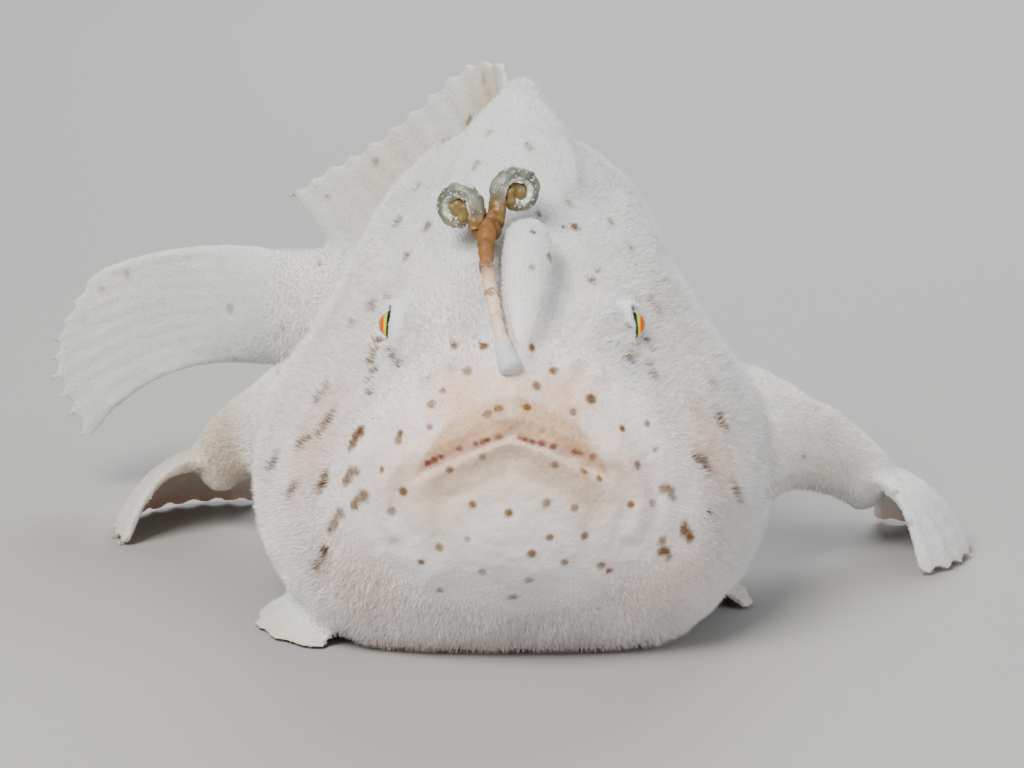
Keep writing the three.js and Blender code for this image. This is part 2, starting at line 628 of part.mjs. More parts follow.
const secondOptions = { steps: 8, around: 14, up: [0, -0.6, 0.8] };
const secondGeometry = limb(secondSpine.path, secondSpine.wide, secondSpine.tall, secondOptions);
const rodGeometry = limb(rodPath, rodSizes, rodSizes, { steps: 9, around: 8, up: [1, 0, 0] });
const rod = largest(solidOf(rodGeometry).subtract(clearBody));
const rodClear = grown(rodGeometry, seam);
const second = solidOf(secondGeometry).subtract(clearBody).subtract(rodClear);
place("second_dorsal_spine", largest(second), skinWhite);
place("illicium", rod, rodOchre);
const secondClear = grown(secondGeometry, seam);
for (const [name, worm] of [["esca_worm_right", rightWorm], ["esca_worm_left", leftWorm]]) {
  const roll = wormSolid(worm).subtract(clearBody).subtract(rodClear).subtract(secondClear);
  place(name, largest(roll), wormOlive);
}

const thirdOptions = { steps: 7, around: 18, up: [0, -0.7, 0.7] };
const thirdGeometry = limb(thirdSpine.path, thirdSpine.wide, thirdSpine.tall, thirdOptions);
place("third_dorsal_spine", largest(solidOf(thirdGeometry).subtract(clearBody)), skinWhite);
const clearThird = grown(thirdGeometry, seam);
const dorsal = solidOf(middleFin(softDorsal, 1, 1.1)).subtract(clearBody).subtract(clearThird);
place("soft_dorsal_fin", largest(dorsal), finGrey);
place("anal_fin", largest(solidOf(middleFin(analFin, -1, 0.9)).subtract(clearBody)), finGrey);
place("caudal_fin", caudalSolid(), finGrey);

for (const [name, side] of [["left", 1], ["right", -1]]) {
  const [upperArm, palm] = armSolids(name, side);
  place(`pectoral_arm_${name}`, upperArm, skinWhite);
  place(`pectoral_hand_${name}`, palm, finGrey);
  place(`pelvic_fin_${name}`, footSolid(name, side), finGrey);
}

export default model;
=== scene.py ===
import math
import random

import bpy
import numpy as np
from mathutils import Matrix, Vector, noise
from mathutils.bvhtree import BVHTree


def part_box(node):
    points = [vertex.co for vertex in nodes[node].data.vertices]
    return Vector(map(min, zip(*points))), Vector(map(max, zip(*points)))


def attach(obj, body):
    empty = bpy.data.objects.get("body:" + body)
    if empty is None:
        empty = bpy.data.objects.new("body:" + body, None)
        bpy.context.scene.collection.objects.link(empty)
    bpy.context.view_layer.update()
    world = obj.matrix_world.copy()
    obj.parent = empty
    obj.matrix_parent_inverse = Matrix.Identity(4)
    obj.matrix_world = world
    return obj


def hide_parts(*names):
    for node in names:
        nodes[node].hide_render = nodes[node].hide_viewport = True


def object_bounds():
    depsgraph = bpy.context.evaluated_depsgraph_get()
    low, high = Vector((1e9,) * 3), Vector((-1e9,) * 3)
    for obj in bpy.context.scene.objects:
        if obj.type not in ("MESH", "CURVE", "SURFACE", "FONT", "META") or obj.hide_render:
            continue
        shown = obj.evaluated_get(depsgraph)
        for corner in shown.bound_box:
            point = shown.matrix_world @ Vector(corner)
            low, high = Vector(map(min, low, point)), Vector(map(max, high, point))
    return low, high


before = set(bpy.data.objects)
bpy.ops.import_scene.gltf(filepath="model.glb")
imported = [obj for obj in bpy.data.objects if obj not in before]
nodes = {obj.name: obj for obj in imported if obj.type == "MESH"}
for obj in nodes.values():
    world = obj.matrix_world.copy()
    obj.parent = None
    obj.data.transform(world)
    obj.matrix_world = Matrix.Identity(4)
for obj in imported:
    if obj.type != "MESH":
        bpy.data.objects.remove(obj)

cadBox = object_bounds()
mm = 0.001


# Small helpers

def deselect():
    if bpy.context.mode != "OBJECT":
        bpy.ops.object.mode_set(mode="OBJECT")
    bpy.ops.object.select_all(action="DESELECT")


def makeActive(*pieces):
    deselect()
    for piece in pieces:
        piece.select_set(True)
    bpy.context.view_layer.objects.active = pieces[0]


def applyModifier(piece, kind, **settings):
    makeActive(piece)
    modifier = piece.modifiers.new(kind.title(), kind)
    for key, value in settings.items():
        setattr(modifier, key, value)
    bpy.ops.object.modifier_apply(modifier=modifier.name)


def editAll(piece, action, **settings):
    makeActive(piece)
    bpy.ops.object.mode_set(mode="EDIT")
    bpy.ops.mesh.select_all(action="SELECT")
    action(**settings)
    bpy.ops.object.mode_set(mode="OBJECT")


def fetch(source, key, width=1, kind=float):
    values = np.empty(len(source) * width, kind)
    source.foreach_get(key, values)
    return values.reshape(-1, width) if width > 1 else values


def readPoints(piece):
    mesh = piece.data
    return fetch(mesh.vertices, "co", 3) / mm, fetch(mesh.vertex_normals, "vector", 3)


def writePoints(piece, points):
    piece.data.vertices.foreach_set("co", (points * mm).ravel())
    piece.data.update()


def meshPiece(name, points, faces):
    mesh = bpy.data.meshes.new(name)
    mesh.from_pydata(points * mm, [], faces)
    piece = bpy.data.objects.new(name, mesh)
    bpy.context.scene.collection.objects.link(piece)
    return piece


def setColours(piece, name, values):
    layer = piece.data.attributes.new(name, "FLOAT_COLOR", "POINT")
    flat = np.ones((len(values), 4), np.float32)
    flat[:, : values.shape[1]] = values
    layer.data.foreach_set("color", flat.ravel())


def settle(piece, slotName, *replaced):
    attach(piece, "root")
    if replaced:
        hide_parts(*replaced)


def hump(distance, width):
    return np.exp(-((distance / width) ** 2))


def smoothStep(low, high, value):
    t = np.clip((value - low) / (high - low), 0, 1)
    return t * t * (3 - 2 * t)


def near(points, place, radius):
    return hump(np.linalg.norm(points - np.array(place), axis=1), radius)


def bothSides(place):
    return [place, (-place[0], place[1], place[2])] if place[0] else [place]


def lineDistance(points, line):
    # distance to a line of short straight stretches in the XZ plane, and its sign above the line
    best = np.full(len(points), 1e9)
    side = np.ones(len(points))
    flat = points[:, [0, 2]]
    for a, b in zip(line[:-1], line[1:]):
        a, b = np.array(a), np.array(b)
        along = b - a
        t = np.clip((flat - a) @ along / (along @ along), 0, 1)
        off = flat - (a + t[:, None] * along)
        distance = np.hypot(off[:, 0], off[:, 1])
        closer = distance < best
        best = np.where(closer, distance, best)
        side = np.where(closer, np.sign(off @ np.array([-along[1], along[0]])), side)
    return best, side


def smoothLine(points, steps):
    # a soft curve through a few points
    points = [np.array(p, float) for p in points]
    line = []
    for i in range(len(points) - 1):
        p0, p1 = points[max(0, i - 1)], points[i]
        p2, p3 = points[i + 1], points[min(len(points) - 1, i + 2)]
        for k in range(steps):
            t = k / steps
            line.append(p1 + 0.5 * t * (p2 - p0 + t * (2 * p0 - 5 * p1 + 4 * p2 - p3
                                                       + t * (3 * (p1 - p2) + p3 - p0))))
    line.append(points[-1])
    return line


# Camera, lights and floor

photoView = {
    "lookAt": Vector((0, -5.9, 15.8)) * mm,
    "distance": 277 * mm,
    "elevation": math.radians(14),
    "lens": 160,
    "nearClip": 0.01,
}


def addCamera():
    back = Vector((0, -math.cos(photoView["elevation"]), math.sin(photoView["elevation"])))
    place = photoView["lookAt"] + back * photoView["distance"]
    bpy.ops.object.camera_add(location=place, rotation=back.to_track_quat("Z", "Y").to_euler())
    camera = bpy.context.object
    camera.data.lens = photoView["lens"]
    camera.data.clip_start = photoView["nearClip"]
    bpy.context.scene.camera = camera
    return place, back


floorLook = {"size": 3, "below": 0.02 * mm, "colour": (0.36, 0.35, 0.34, 1), "roughness": 0.8}
lampSettings = [
    {"name": "key", "place": (-0.16, -0.22, 0.32), "size": 0.2, "power": 2.65, "colour": (1, 0.98, 0.95)},
    {"name": "fill", "place": (0.3, -0.16, 0.16), "size": 0.25, "power": 0.6, "colour": (0.93, 0.97, 1)},
    {"name": "rim", "place": (0.05, 0.3, 0.22), "size": 0.22, "power": 1.2, "colour": (0.95, 0.98, 1)},
]
worldLight = {"colour": (0.82, 0.86, 0.9, 1), "strength": 0.33}


def addStage():
    bpy.ops.mesh.primitive_plane_add(size=floorLook["size"], location=(0, 0, -floorLook["below"]))
    floor = bpy.context.object
    floor.name = "studioFloor"
    shade = Shader("paleFloor", floorLook["roughness"])
    shade.set("Base Color", floorLook["colour"])
    floor.data.materials.append(shade.material)
    for lamp in lampSettings:
        place = Vector(lamp["place"])
        aim = (place - photoView["lookAt"]).to_track_quat("Z", "Y")
        bpy.ops.object.light_add(type="AREA", location=place, rotation=aim.to_euler())
        light = bpy.context.object.data
        light.name = lamp["name"]
        light.size = lamp["size"]
        light.energy = lamp["power"]
        light.color = lamp["colour"]
    world = bpy.data.worlds.new("studioAir")
    bpy.context.scene.world = world
    world.use_nodes = True
    background = world.node_tree.nodes["Background"]
    background.inputs["Color"].default_value = worldLight["colour"]
    background.inputs["Strength"].default_value = worldLight["strength"]


# Shader sums: a Number is a socket, and an operator on it adds a Math node

class Number:
    def __init__(self, shade, socket):
        self.shade = shade
        self.socket = socket

    def maths(self, operation, *values):
        return self.shade.node("ShaderNodeMath", {"operation": operation}, dict(enumerate(values)))

    def __add__(self, other):
        return self.maths("ADD", self, other)

    def __sub__(self, other):
        return self.maths("SUBTRACT", self, other)

    def __rsub__(self, other):
        return self.maths("SUBTRACT", other, self)

    def __mul__(self, other):
        return self.maths("MULTIPLY", self, other)

    __radd__ = __add__
    __rmul__ = __mul__

    def step(self, low, high):
        values = {"Value": self, "From Min": low, "From Max": high}
        return self.shade.node("ShaderNodeMapRange", {"interpolation_type": "SMOOTHSTEP"}, values)


class Shader:
    def __init__(self, name, roughness):
        self.material = bpy.data.materials.new(name)
        self.material.use_nodes = True
        self.tree = self.material.node_tree
        self.surface = self.tree.nodes["Principled BSDF"]
        self.set("Roughness", roughness)

    def join(self, socket, value):
        if isinstance(value, Number):
            self.tree.links.new(value.socket, socket)
        else:
            socket.default_value = value

    def set(self, name, value):
        self.join(self.surface.inputs[name], value)

    def node(self, kind, settings=None, values=None, output=0):
        made = self.tree.nodes.new(kind)
        for key, value in (settings or {}).items():
            if key == "stops":
                while len(made.color_ramp.elements) < len(value):
                    made.color_ramp.elements.new(0.5)
                for element, (place, colour) in zip(made.color_ramp.elements, value):
                    element.position = place
                    element.color = (*colour, 1)
            else:
                setattr(made, key, value)
        for key, value in (values or {}).items():
            self.join(made.inputs[key], value)
        return Number(self, made.outputs[output])

    def place(self):
        return self.node("ShaderNodeTexCoord", output="Object")

    def grain(self, scale, detail):
        values = {"Vector": self.place(), "Scale": scale, "Detail": detail}
        return self.node("ShaderNodeTexNoise", None, values)

    def split(self, name):
        colour = self.node("ShaderNodeAttribute", {"attribute_name": name}, output="Color")
        parts = self.tree.nodes.new("ShaderNodeSeparateColor")
        self.tree.links.new(colour.socket, parts.inputs[0])
        return [Number(self, parts.outputs[i]) for i in range(3)]

    def mix(self, share, first, second):
        # sockets 0, 6 and 7 of the Mix node are its factor and its two colours
        values = {0: share}
        made = self.node("ShaderNodeMix", {"data_type": "RGBA", "clamp_factor": True}, values, 2)
        for socket, colour in ((6, first), (7, second)):
            given = colour if isinstance(colour, Number) else (*colour, 1)
            self.join(made.socket.node.inputs[socket], given)
        return made

    def bump(self, height, strength, distance):
        values = {"Height": height, "Strength": strength, "Distance": distance}
        self.set("Normal", self.node("ShaderNodeBump", None, values))


# Colours of the skin, shared by the skin itself and by its coat

skinColours = {
    "white": (0.85, 0.82, 0.80),
    "shade": (0.71, 0.70, 0.68),
    "peach": (0.86, 0.50, 0.34),
    "ochre": (0.52, 0.34, 0.12),
    "cool": (0.51, 0.57, 0.54),
    "brown": (0.19, 0.095, 0.025),
    "maroon": (0.24, 0.05, 0.045),
    "black": (0.018, 0.012, 0.012),
    "tip": (0.95, 0.94, 0.94),
}


skinLook = {
    "wide": (260, 3), "fine": (2600, 2),  # scale and detail of the unevenness
    "shadeFrom": 0.42, "shadeGain": 2.2,
    "marked": (0.1, 0.35), "tinted": (0.1, 0.6),  # spans over which the light tips go
    "coolShare": 0.7, "tintedShare": 0.85, "tipShare": 0.55,
    "pimpleScale": 2600, "pimpleSpan": (0.0, 0.5), "pimpleShare": 0.6, "grainShare": 0.7,
    "bump": (0.35, 0.12 * mm),
}
skinUneven = {  # each colour's strength at the least, and how much the unevenness adds
    "cool": (0.6, 0.8), "peach": (0.55, 0.9), "ochre": (0.5, 1),
    "brown": (0.7, 0.6), "maroon": (0.7, 0.6), "black": (0.7, 0.6),
}
skinDepth = {"Subsurface Weight": 0.25, "Subsurface Radius": (1.0, 0.55, 0.4), "Subsurface Scale": 1.2 * mm}


def skinShader(name, roughness, tips=False):
    shade = Shader(name, roughness)
    wide = shade.grain(*skinLook["wide"])
    fine = shade.grain(*skinLook["fine"])
    peach, ochre, cool = shade.split("tints")
    brown, maroon, black = shade.split("marks")
    shaded = (wide - skinLook["shadeFrom"]) * skinLook["shadeGain"]
    base = shade.mix(shaded, skinColours["white"], skinColours["shade"])
    for colour, amount, grain in (
            ("cool", cool, wide), ("peach", peach, fine), ("ochre", ochre, fine),
            ("brown", brown, fine), ("maroon", maroon, fine), ("black", black, fine)):
        least, gain = skinUneven[colour]
        base = shade.mix(amount * (least + grain * gain), base, skinColours[colour])
    if tips:
        tip = shade.split("reach")[0]
        marked = (brown + maroon + black).step(*skinLook["marked"])
        tinted = (peach + ochre + cool * skinLook["coolShare"]).step(*skinLook["tinted"])
        clear = (1 - marked) * (1 - tinted * skinLook["tintedShare"])
        base = shade.mix(tip * clear * skinLook["tipShare"], base, skinColours["tip"])
    else:
        cells = {"Vector": shade.place(), "Scale": skinLook["pimpleScale"]}
        pimples = shade.node("ShaderNodeTexVoronoi", None, cells).step(*skinLook["pimpleSpan"])
        height = fine * skinLook["grainShare"] + pimples * skinLook["pimpleShare"]
        shade.bump(height, *skinLook["bump"])
        for setting, value in skinDepth.items():
            shade.set(setting, value)
    shade.set("Base Color", base)
    return shade.material


# Skin: one surface over all nodes of flesh, with its own forms

skinForm = {
    "weld": 0.004 * mm,
    "voxel": 0.27 * mm,
    "swell": 0.23,  # mm, closes the clear gaps between the nodes
    "smoothing": 7,
    "smoothShare": 0.5,
    "faceSmoothing": 2,
    "cheekSmoothing": 60,
    "depthSmoothing": 24,
    "finSmoothing": 6,
    "tintSmoothing": 20,
    "aboveFloor": 0.05,  # mm
}
coatRoom = {  # mm that the skin lies inside each solid, the room for its coat, and the coat's length
    "head": (0.5, 0.62), "lower_jaw": (0.22, 0.2), "trunk": (0.6, 0.74), "tail_stalk": (0.34, 0.4),
    "second_dorsal_spine": (0.26, 0.36), "third_dorsal_spine": (0.36, 0.34),
    "pectoral_arm_left": (0.3, 0.36), "pectoral_arm_right": (0.3, 0.36),
    "pectoral_hand_left": (0.07, 0.12), "pectoral_hand_right": (0.07, 0.12),
    "pelvic_fin_left": (0.06, 0.12), "pelvic_fin_right": (0.06, 0.12),
    "soft_dorsal_fin": (0.07, 0.13), "anal_fin": (0.06, 0.12), "caudal_fin": (0.07, 0.12),
}
finNodes = [number for number, name in enumerate(coatRoom) if "fin" in name or "hand" in name]


def fuseSkin():
    copies = []
    for name in coatRoom:
        copy = nodes[name].copy()
        copy.data = nodes[name].data.copy()
        bpy.context.scene.collection.objects.link(copy)
        copies.append(copy)
        editAll(copy, bpy.ops.mesh.remove_doubles, threshold=skinForm["weld"])
        applyModifier(copy, "DISPLACE", strength=skinForm["swell"] * mm, mid_level=0)
    makeActive(*copies)
    bpy.ops.object.join()
    skin = bpy.context.object
    skin.parent = None
    for key in list(skin.keys()):
        del skin[key]
    skin.name = skin.data.name = "fishSkin"
    skin.data.materials.clear()
    applyModifier(skin, "REMESH", mode="VOXEL", voxel_size=skinForm["voxel"])
    applyModifier(skin, "SMOOTH", factor=skinForm["smoothShare"], iterations=skinForm["smoothing"])
    return skin


# mm, the part of the face where the skin's mesh is made finer
fineZone = {"back": -8.5, "slant": 0.12, "halfWidth": 8.6, "low": 6.5, "high": 20.8}


def inFace(points):
    x, y, z = points.T
    wide = np.abs(x)
    ahead = y < fineZone["back"] + fineZone["slant"] * wide
    return ahead & (wide < fineZone["halfWidth"]) & (z > fineZone["low"]) & (z < fineZone["high"])


def refineFace(skin):
    makeActive(skin)
    points, _ = readPoints(skin)
    bpy.ops.object.mode_set(mode="EDIT")
    bpy.ops.mesh.select_all(action="DESELECT")
    bpy.ops.object.mode_set(mode="OBJECT")
    skin.data.vertices.foreach_set("select", inFace(points))
    bpy.ops.object.mode_set(mode="EDIT")
    bpy.context.tool_settings.mesh_select_mode = (True, False, False)
    bpy.ops.mesh.select_mode(type="FACE")
    bpy.ops.mesh.subdivide(number_cuts=1, smoothness=0)
    bpy.ops.mesh.vertices_smooth(factor=skinForm["smoothShare"], repeat=skinForm["faceSmoothing"])
    bpy.ops.object.mode_set(mode="OBJECT")


def nearestNodes(points):
    # the number, in the order of coatRoom, of the solid that each point of the skin lies on
    corners, faces, owner = [], [], []
    for index, name in enumerate(coatRoom):
        mesh = nodes[name].data
        start = len(corners)
        corners += [vertex.co / mm for vertex in mesh.vertices]
        faces += [[start + v for v in face.vertices] for face in mesh.polygons]
        owner += [index] * len(mesh.polygons)
    tree = BVHTree.FromPolygons(corners, faces)
    return np.array([owner[tree.find_nearest(Vector(p))[2]] for p in points])


def edgePairs(skin):
    return fetch(skin.data.edges, "vertices", 2, np.int64)


def evenOut(values, pairs, rounds):
    # blends each point's value with its neighbours'
    ends = np.concatenate([pairs, pairs[:, ::-1]])
    count = np.bincount(ends[:, 0], minlength=len(values))
    for _ in range(rounds):
        total = np.bincount(ends[:, 0], weights=values[ends[:, 1]], minlength=len(values))
        values = 0.5 * values + 0.5 * total / count
    return values


eyeLook = {"place": (6.9, -5.9, 19.5), "gaze": (0.99, 0.05, 0.06)}
mouthLine = [  # x and z in mm, from the middle to the fish's left
    (0, 15.5), (0.6, 15.25), (1.6, 14.85), (3.1, 14.2), (4.9, 13.15), (6.2, 12.0), (6.8, 10.2), (6.8, 8.4)]
mouthGroove = {"depth": 0.42, "width": 0.2}
lipForms = [  # mm above the line of the mouth, height and width
    (0.7, 0.12, 0.5), (-0.6, 0.04, 0.5), (1.85, -0.09, 0.28), (-2.2, -0.1, 0.5), (-3.0, 0.06, 0.6)]
sideFolds = [  # beside the mouth: a ridge and a furrow next to it, each with height and width in mm
    {"line": [(4.4, 17.2), (6.0, 15.2), (7.4, 12.8), (7.9, 10.6), (7.2, 8.8)],
     "ridge": (0.14, 0.5), "furrow": (0.07, 0.35), "apart": 0.95},
    {"line": [(8.2, 16.8), (9.2, 14.2), (9.6, 11.4), (9.0, 8.4)],
     "ridge": (0.08, 0.6), "furrow": (0.04, 0.45), "apart": 1.1},
]
faceFade = {  # mm, spans over which the forms of the face fade out
    "back": (-7.0, -10.0), "fromMouth": (6.5, 8.2), "grooveEnd": (4.6, 6.2),
    "lipEnd": (4.6, 7.0), "lipLoss": 0.75}
lineSteps = 8


def mirroredLines(line):
    half = smoothLine(line, lineSteps)
    return [half, [np.array([-p[0], p[1]]) for p in half]]


def sidedLine(line):
    half, other = mirroredLines(line)
    return other[:0:-1] + half


def faceMoves(points):
    # how far each point of the face moves out along its normal, in mm
    x, y, _ = points.T
    wide = np.abs(x)
    distance, side = lineDistance(points, sidedLine(mouthLine))
    above = distance * side
    move = np.zeros(len(points))
    closed = 1 - smoothStep(*faceFade["grooveEnd"], wide)
    move -= mouthGroove["depth"] * hump(distance, mouthGroove["width"]) * closed
    reach = 1 - faceFade["lipLoss"] * smoothStep(*faceFade["lipEnd"], wide)
    for off, height, width in lipForms:
        move += height * hump(above - off, width) * reach
    for fold in sideFolds:
        (rise, ridgeWidth), (drop, furrowWidth) = fold["ridge"], fold["furrow"]
        for line in mirroredLines(fold["line"]):
            away, _ = lineDistance(points, line)
            move += rise * hump(away, ridgeWidth) - drop * hump(away - fold["apart"], furrowWidth)
    front = smoothStep(*faceFade["back"], y)
    return move * front * (1 - smoothStep(*faceFade["fromMouth"], distance))


browForms = [  # place, radius and height in mm, made on both sides
    ((6.2, -7.9, 21.4), 0.9, 0.3),
    ((7.3, -8.1, 17.9), 0.8, 0.22),
    ((7.9, -8.2, 16.6), 0.7, 0.18),
    ((4.2, -11.8, 20.4), 1.2, 0.18),
    ((2.5, -14.6, 18.6), 0.9, -0.14),
]


def browMoves(points):
    move = np.zeros(len(points))
    for place, radius, height in browForms:
        for spot in bothSides(place):
            move += height * near(points, spot, radius)
    return move


def roughness(points, scale, amount, seed):
    shift = Vector((seed, 2.3 * seed, -seed))
    return np.array([amount * noise.noise(Vector(p) * scale + shift) for p in points])


# spans in mm over which the evened-out parts of the cheeks and of the chin's underside end
cheekCalm = {
    "inner": (4.9, 6.2), "outer": (9.5, 8.2), "back": (-9.5, -11.0),
    "top": (13.4, 12.2), "bottom": (1.5, 3.0)}
chinCalm = {"outer": (8.5, 7.5), "back": -11, "top": (6.4, 5.2), "bottom": (1.0, 2.2)}


def calmCheeks(skin, pairs):
    # evens out what is left of the jaw's side seams, outside the line of the mouth
    points, _ = readPoints(skin)
    x, y, z = points.T
    wide = np.abs(x)
    share = smoothStep(*cheekCalm["inner"], wide) * smoothStep(*cheekCalm["outer"], wide)
    share = share * smoothStep(*cheekCalm["back"], y)
    share = share * smoothStep(*cheekCalm["top"], z) * smoothStep(*cheekCalm["bottom"], z)
    under = smoothStep(*chinCalm["top"], z) * smoothStep(*chinCalm["bottom"], z)
    under = under * smoothStep(*chinCalm["outer"], wide) * (y < chinCalm["back"])
    share = np.maximum(share, under)
    rounds = skinForm["cheekSmoothing"]
    smooth = np.stack([evenOut(points[:, axis], pairs, rounds) for axis in range(3)], 1)
    writePoints(skin, points + share[:, None] * (smooth - points))


eyeSeat = {  # mm
    "halfWidth": 7.36,  # how far out the skin may reach beside the eye
    "ahead": 2.4, "behind": 1.15,  # how much longer the seat is each way than it is high
    "edge": (1.55, 0.95),
    "lid": {"height": 0.1, "radius": 1.12, "width": 0.2, "inner": (6.0, 6.6)},
    "socket": (2.1, 1.4), "socketRise": 0.1,
}


def eyeDistances(points):
    return [np.linalg.norm(points - np.array(spot), axis=1) for spot in bothSides(eyeLook["place"])]


def seatEyes(points):
    # the skin beside an eye stays inside the eye's outer part, with the low rim of a lid round it
    x, y, z = points.T
    ahead, rise = y - eyeLook["place"][1], z - eyeLook["place"][2]
    stretched = np.where(ahead < 0, ahead / eyeSeat["ahead"], ahead / eyeSeat["behind"])
    share = smoothStep(*eyeSeat["edge"], np.hypot(stretched, rise))
    over = np.maximum(np.abs(x) - eyeSeat["halfWidth"], 0)
    lid = eyeSeat["lid"]
    rim = lid["height"] * hump(np.hypot(ahead, rise) - lid["radius"], lid["width"])
    rim = rim * smoothStep(*lid["inner"], np.abs(x))
    points[:, 0] -= np.sign(x) * (share * over - rim)


# where the skin lies closer to the solids: on the face, and under the body where it meets the floor
thinSkin = {
    "faceBack": (-9.5, -13.5), "faceLow": (4.5, 7.5), "faceLoss": 0.68,
    "downward": (-0.75, -0.95), "low": (1.6, 0.6), "underDepth": 0.12}
skinWaves = {"flesh": (0.45, 0.12, 3), "all": (1.6, 0.05, 7)}  # scale, height in mm and seed


def shapeSkin(skin):
    pairs = edgePairs(skin)
    calmCheeks(skin, pairs)
    points, normals = readPoints(skin)
    owner = nearestNodes(points)
    depth = np.array(list(coatRoom.values()))[owner, 0]
    _, y, z = points.T
    face = smoothStep(*thinSkin["faceBack"], y) * smoothStep(*thinSkin["faceLow"], z)
    depth = depth * (1 - thinSkin["faceLoss"] * face)
    under = smoothStep(*thinSkin["downward"], normals[:, 2]) * smoothStep(*thinSkin["low"], z)
    depth = depth * (1 - under) + thinSkin["underDepth"] * under
    depth = evenOut(depth, pairs, skinForm["depthSmoothing"])
    for distance in eyeDistances(points):
        socket = smoothStep(*eyeSeat["socket"], distance)
        depth = depth * (1 - socket) - eyeSeat["socketRise"] * socket
    finShare = evenOut(np.isin(owner, finNodes).astype(float), pairs, skinForm["finSmoothing"])
    move = -(skinForm["swell"] + depth) + faceMoves(points) + browMoves(points)
    move += roughness(points, *skinWaves["flesh"]) * (1 - finShare) + roughness(points, *skinWaves["all"])
    points += normals * move[:, None]
    seatEyes(points)
    points[:, 2] = np.maximum(points[:, 2], skinForm["aboveFloor"])
    writePoints(skin, points)
    makeActive(skin)
    bpy.ops.object.shade_smooth()
    return owner, finShare


# Marks: where each spot shows in the photo's view, in mm from the point between the eyes,
# to the right and up. Each is set on the skin along the line of sight. A group has the radius of its
# spots, a range of strengths if they differ from the usual, and the number of tufts in each trail.

markGroups = {
    "brown": {"radius": 0.25, "spots": [
        (-2.4, -10.9), (-0.2, -11.4), (2.1, -10.8), (3.8, -11.1), (-2.7, -13.0), (2.3, -12.9), (4.4, -12.8),
        (-4.4, -13.5), (-5.5, -14.4), (1.2, -13.9), (3.2, -14.4), (5.4, -14.6), (-1.8, -15.0), (1.0, -15.5),
        (0.1, -16.5), (-4.4, -16.1), (4.4, -8.8), (5.3, -9.3), (2.6, -8.5), (-1.8, -8.0), (-3.8, -8.8),
        (-6.6, -10.1), (-7.3, -11.3), (7.2, -10.9), (8.5, -10.8), (6.7, -6.3), (7.6, -8.5), (8.2, -6.0),
        (3.7, -5.3), (-4.9, -4.8), (-4.2, -4.0), (-7.9, -8.8), (-2.7, -2.8), (2.5, -2.8), (1.2, -1.4),
        (-1.7, -1.3), (-3.5, -1.3), (-8.3, 1.1), (8.2, 1.5), (7.0, -0.1), (2.3, 4.1), (1.2, 3.5),
        (4.8, 2.6), (3.8, 5.9)]},
    "largeBrown": {"radius": 0.32, "spots": [
        (1.5, -3.7), (4.8, -4.5), (-1.5, -5.4), (-0.8, -5.1), (0.9, -5.0)]},
    "cheekBrown": {"radius": 0.29, "trail": 4, "strength": (0.9, 1.1), "spots": [
        (-11.6, -4.6), (-11.1, -6.2), (-11.4, -6.6), (-9.6, -6.9), (-9.8, -7.4), (-12.7, -7.5), (-10.1, -9.5),
        (-11.6, -9.9), (-13.3, -10.3), (-9.6, -11.0), (-11.0, -12.4), (-11.7, -14.6), (-14.4, -8.7),
        (11.7, -8.7), (10.8, -12.9), (12.7, -6.3), (9.8, -10.5), (13.6, -10.5), (9.5, -14.1)]},
    "backBrown": {"radius": 0.22, "trail": 2, "strength": (0.6, 0.85), "spots": [
        (-2.7, 12.2), (-1.5, 11.5), (-4.3, 10.6), (1.1, 10.7), (-2.3, 9.5), (3.5, 7.3), (9.1, 5.6),
        (-5.8, 8.2), (-7.0, 6.1), (6.0, 9.4), (7.2, 4.6), (4.8, 10.6), (-6.4, 4.0), (-5.2, 5.8), (6.0, 6.1)]},
    "belowEye": {"radius": 0.27, "strength": (1.0, 1.2), "spots": [
        (-7.4, -1.4), (-7.0, -1.9), (-6.7, -2.4), (7.4, -1.3), (7.1, -1.8), (6.9, -2.2), (-8.1, -1.0),
        (-8.2, -1.6), (-8.4, -2.2), (-8.2, -2.8), (-8.4, -3.4), (-8.5, -4.1), (8.1, -0.8), (8.3, -1.6),
        (8.2, -2.4), (8.4, -3.1), (-6.8, -6.6), (-6.9, -7.0)]},
    "maroon": {"radius": 0.22, "strength": (0.9, 1.1), "spots": [
        (-5.1, -8.4), (-4.7, -8.2), (-4.3, -8.0), (-3.2, -7.5), (-2.2, -7.2), (-1.8, -7.1), (-1.5, -7.0),
        (-0.8, -6.8), (0.5, -6.9), (0.8, -7.0), (1.2, -7.1), (1.8, -7.2), (2.5, -7.4), (3.8, -7.7),
        (4.1, -7.8), (4.9, -8.0), (5.9, -14.9), (-5.0, -6.2)]},
    "black": {"radius": 0.15, "strength": (1.0, 1.2), "spots": [
        (11.9, -11.2), (8.7, -7.6), (5.1, 3.3), (3.1, 5.9), (1.6, 6.7), (1.3, 5.6), (-7.5, 2.1), (-7.4, 1.7),
        (7.3, 2.0), (7.5, 1.6)]},
}
scatteredMarks = {
    "count": 170, "radius": (0.18, 0.32), "strength": (0.25, 0.6), "seed": 11,
    "faceBack": -3, "crownHalfWidth": 9, "crownBack": 6, "crownLow": 20, "lowest": 1.5}  # mm
markTrail = (0.17, 0.26)  # mm across and up from one tuft of a trail of dark tufts to the next
markChance = {"strength": (0.85, 1.15), "apart": (0.7, 1.3), "size": (0.8, 1.15), "fading": (0.75, 1)}
markEdge = (1.45, 0.65)  # as shares of a mark's radius
markKinds = {  # the channel of the marks that each group is painted in
    "brown": 0, "largeBrown": 0, "cheekBrown": 0, "backBrown": 0, "belowEye": 0, "maroon": 1, "black": 2}


def inView(spot):
    # true on the face and the crown, which have their own marks from the photo
    x, y, z = spot
    crown = abs(x) < scatteredMarks["crownHalfWidth"] and y < scatteredMarks["crownBack"]
    return y < scatteredMarks["faceBack"] or (crown and z > scatteredMarks["crownLow"])


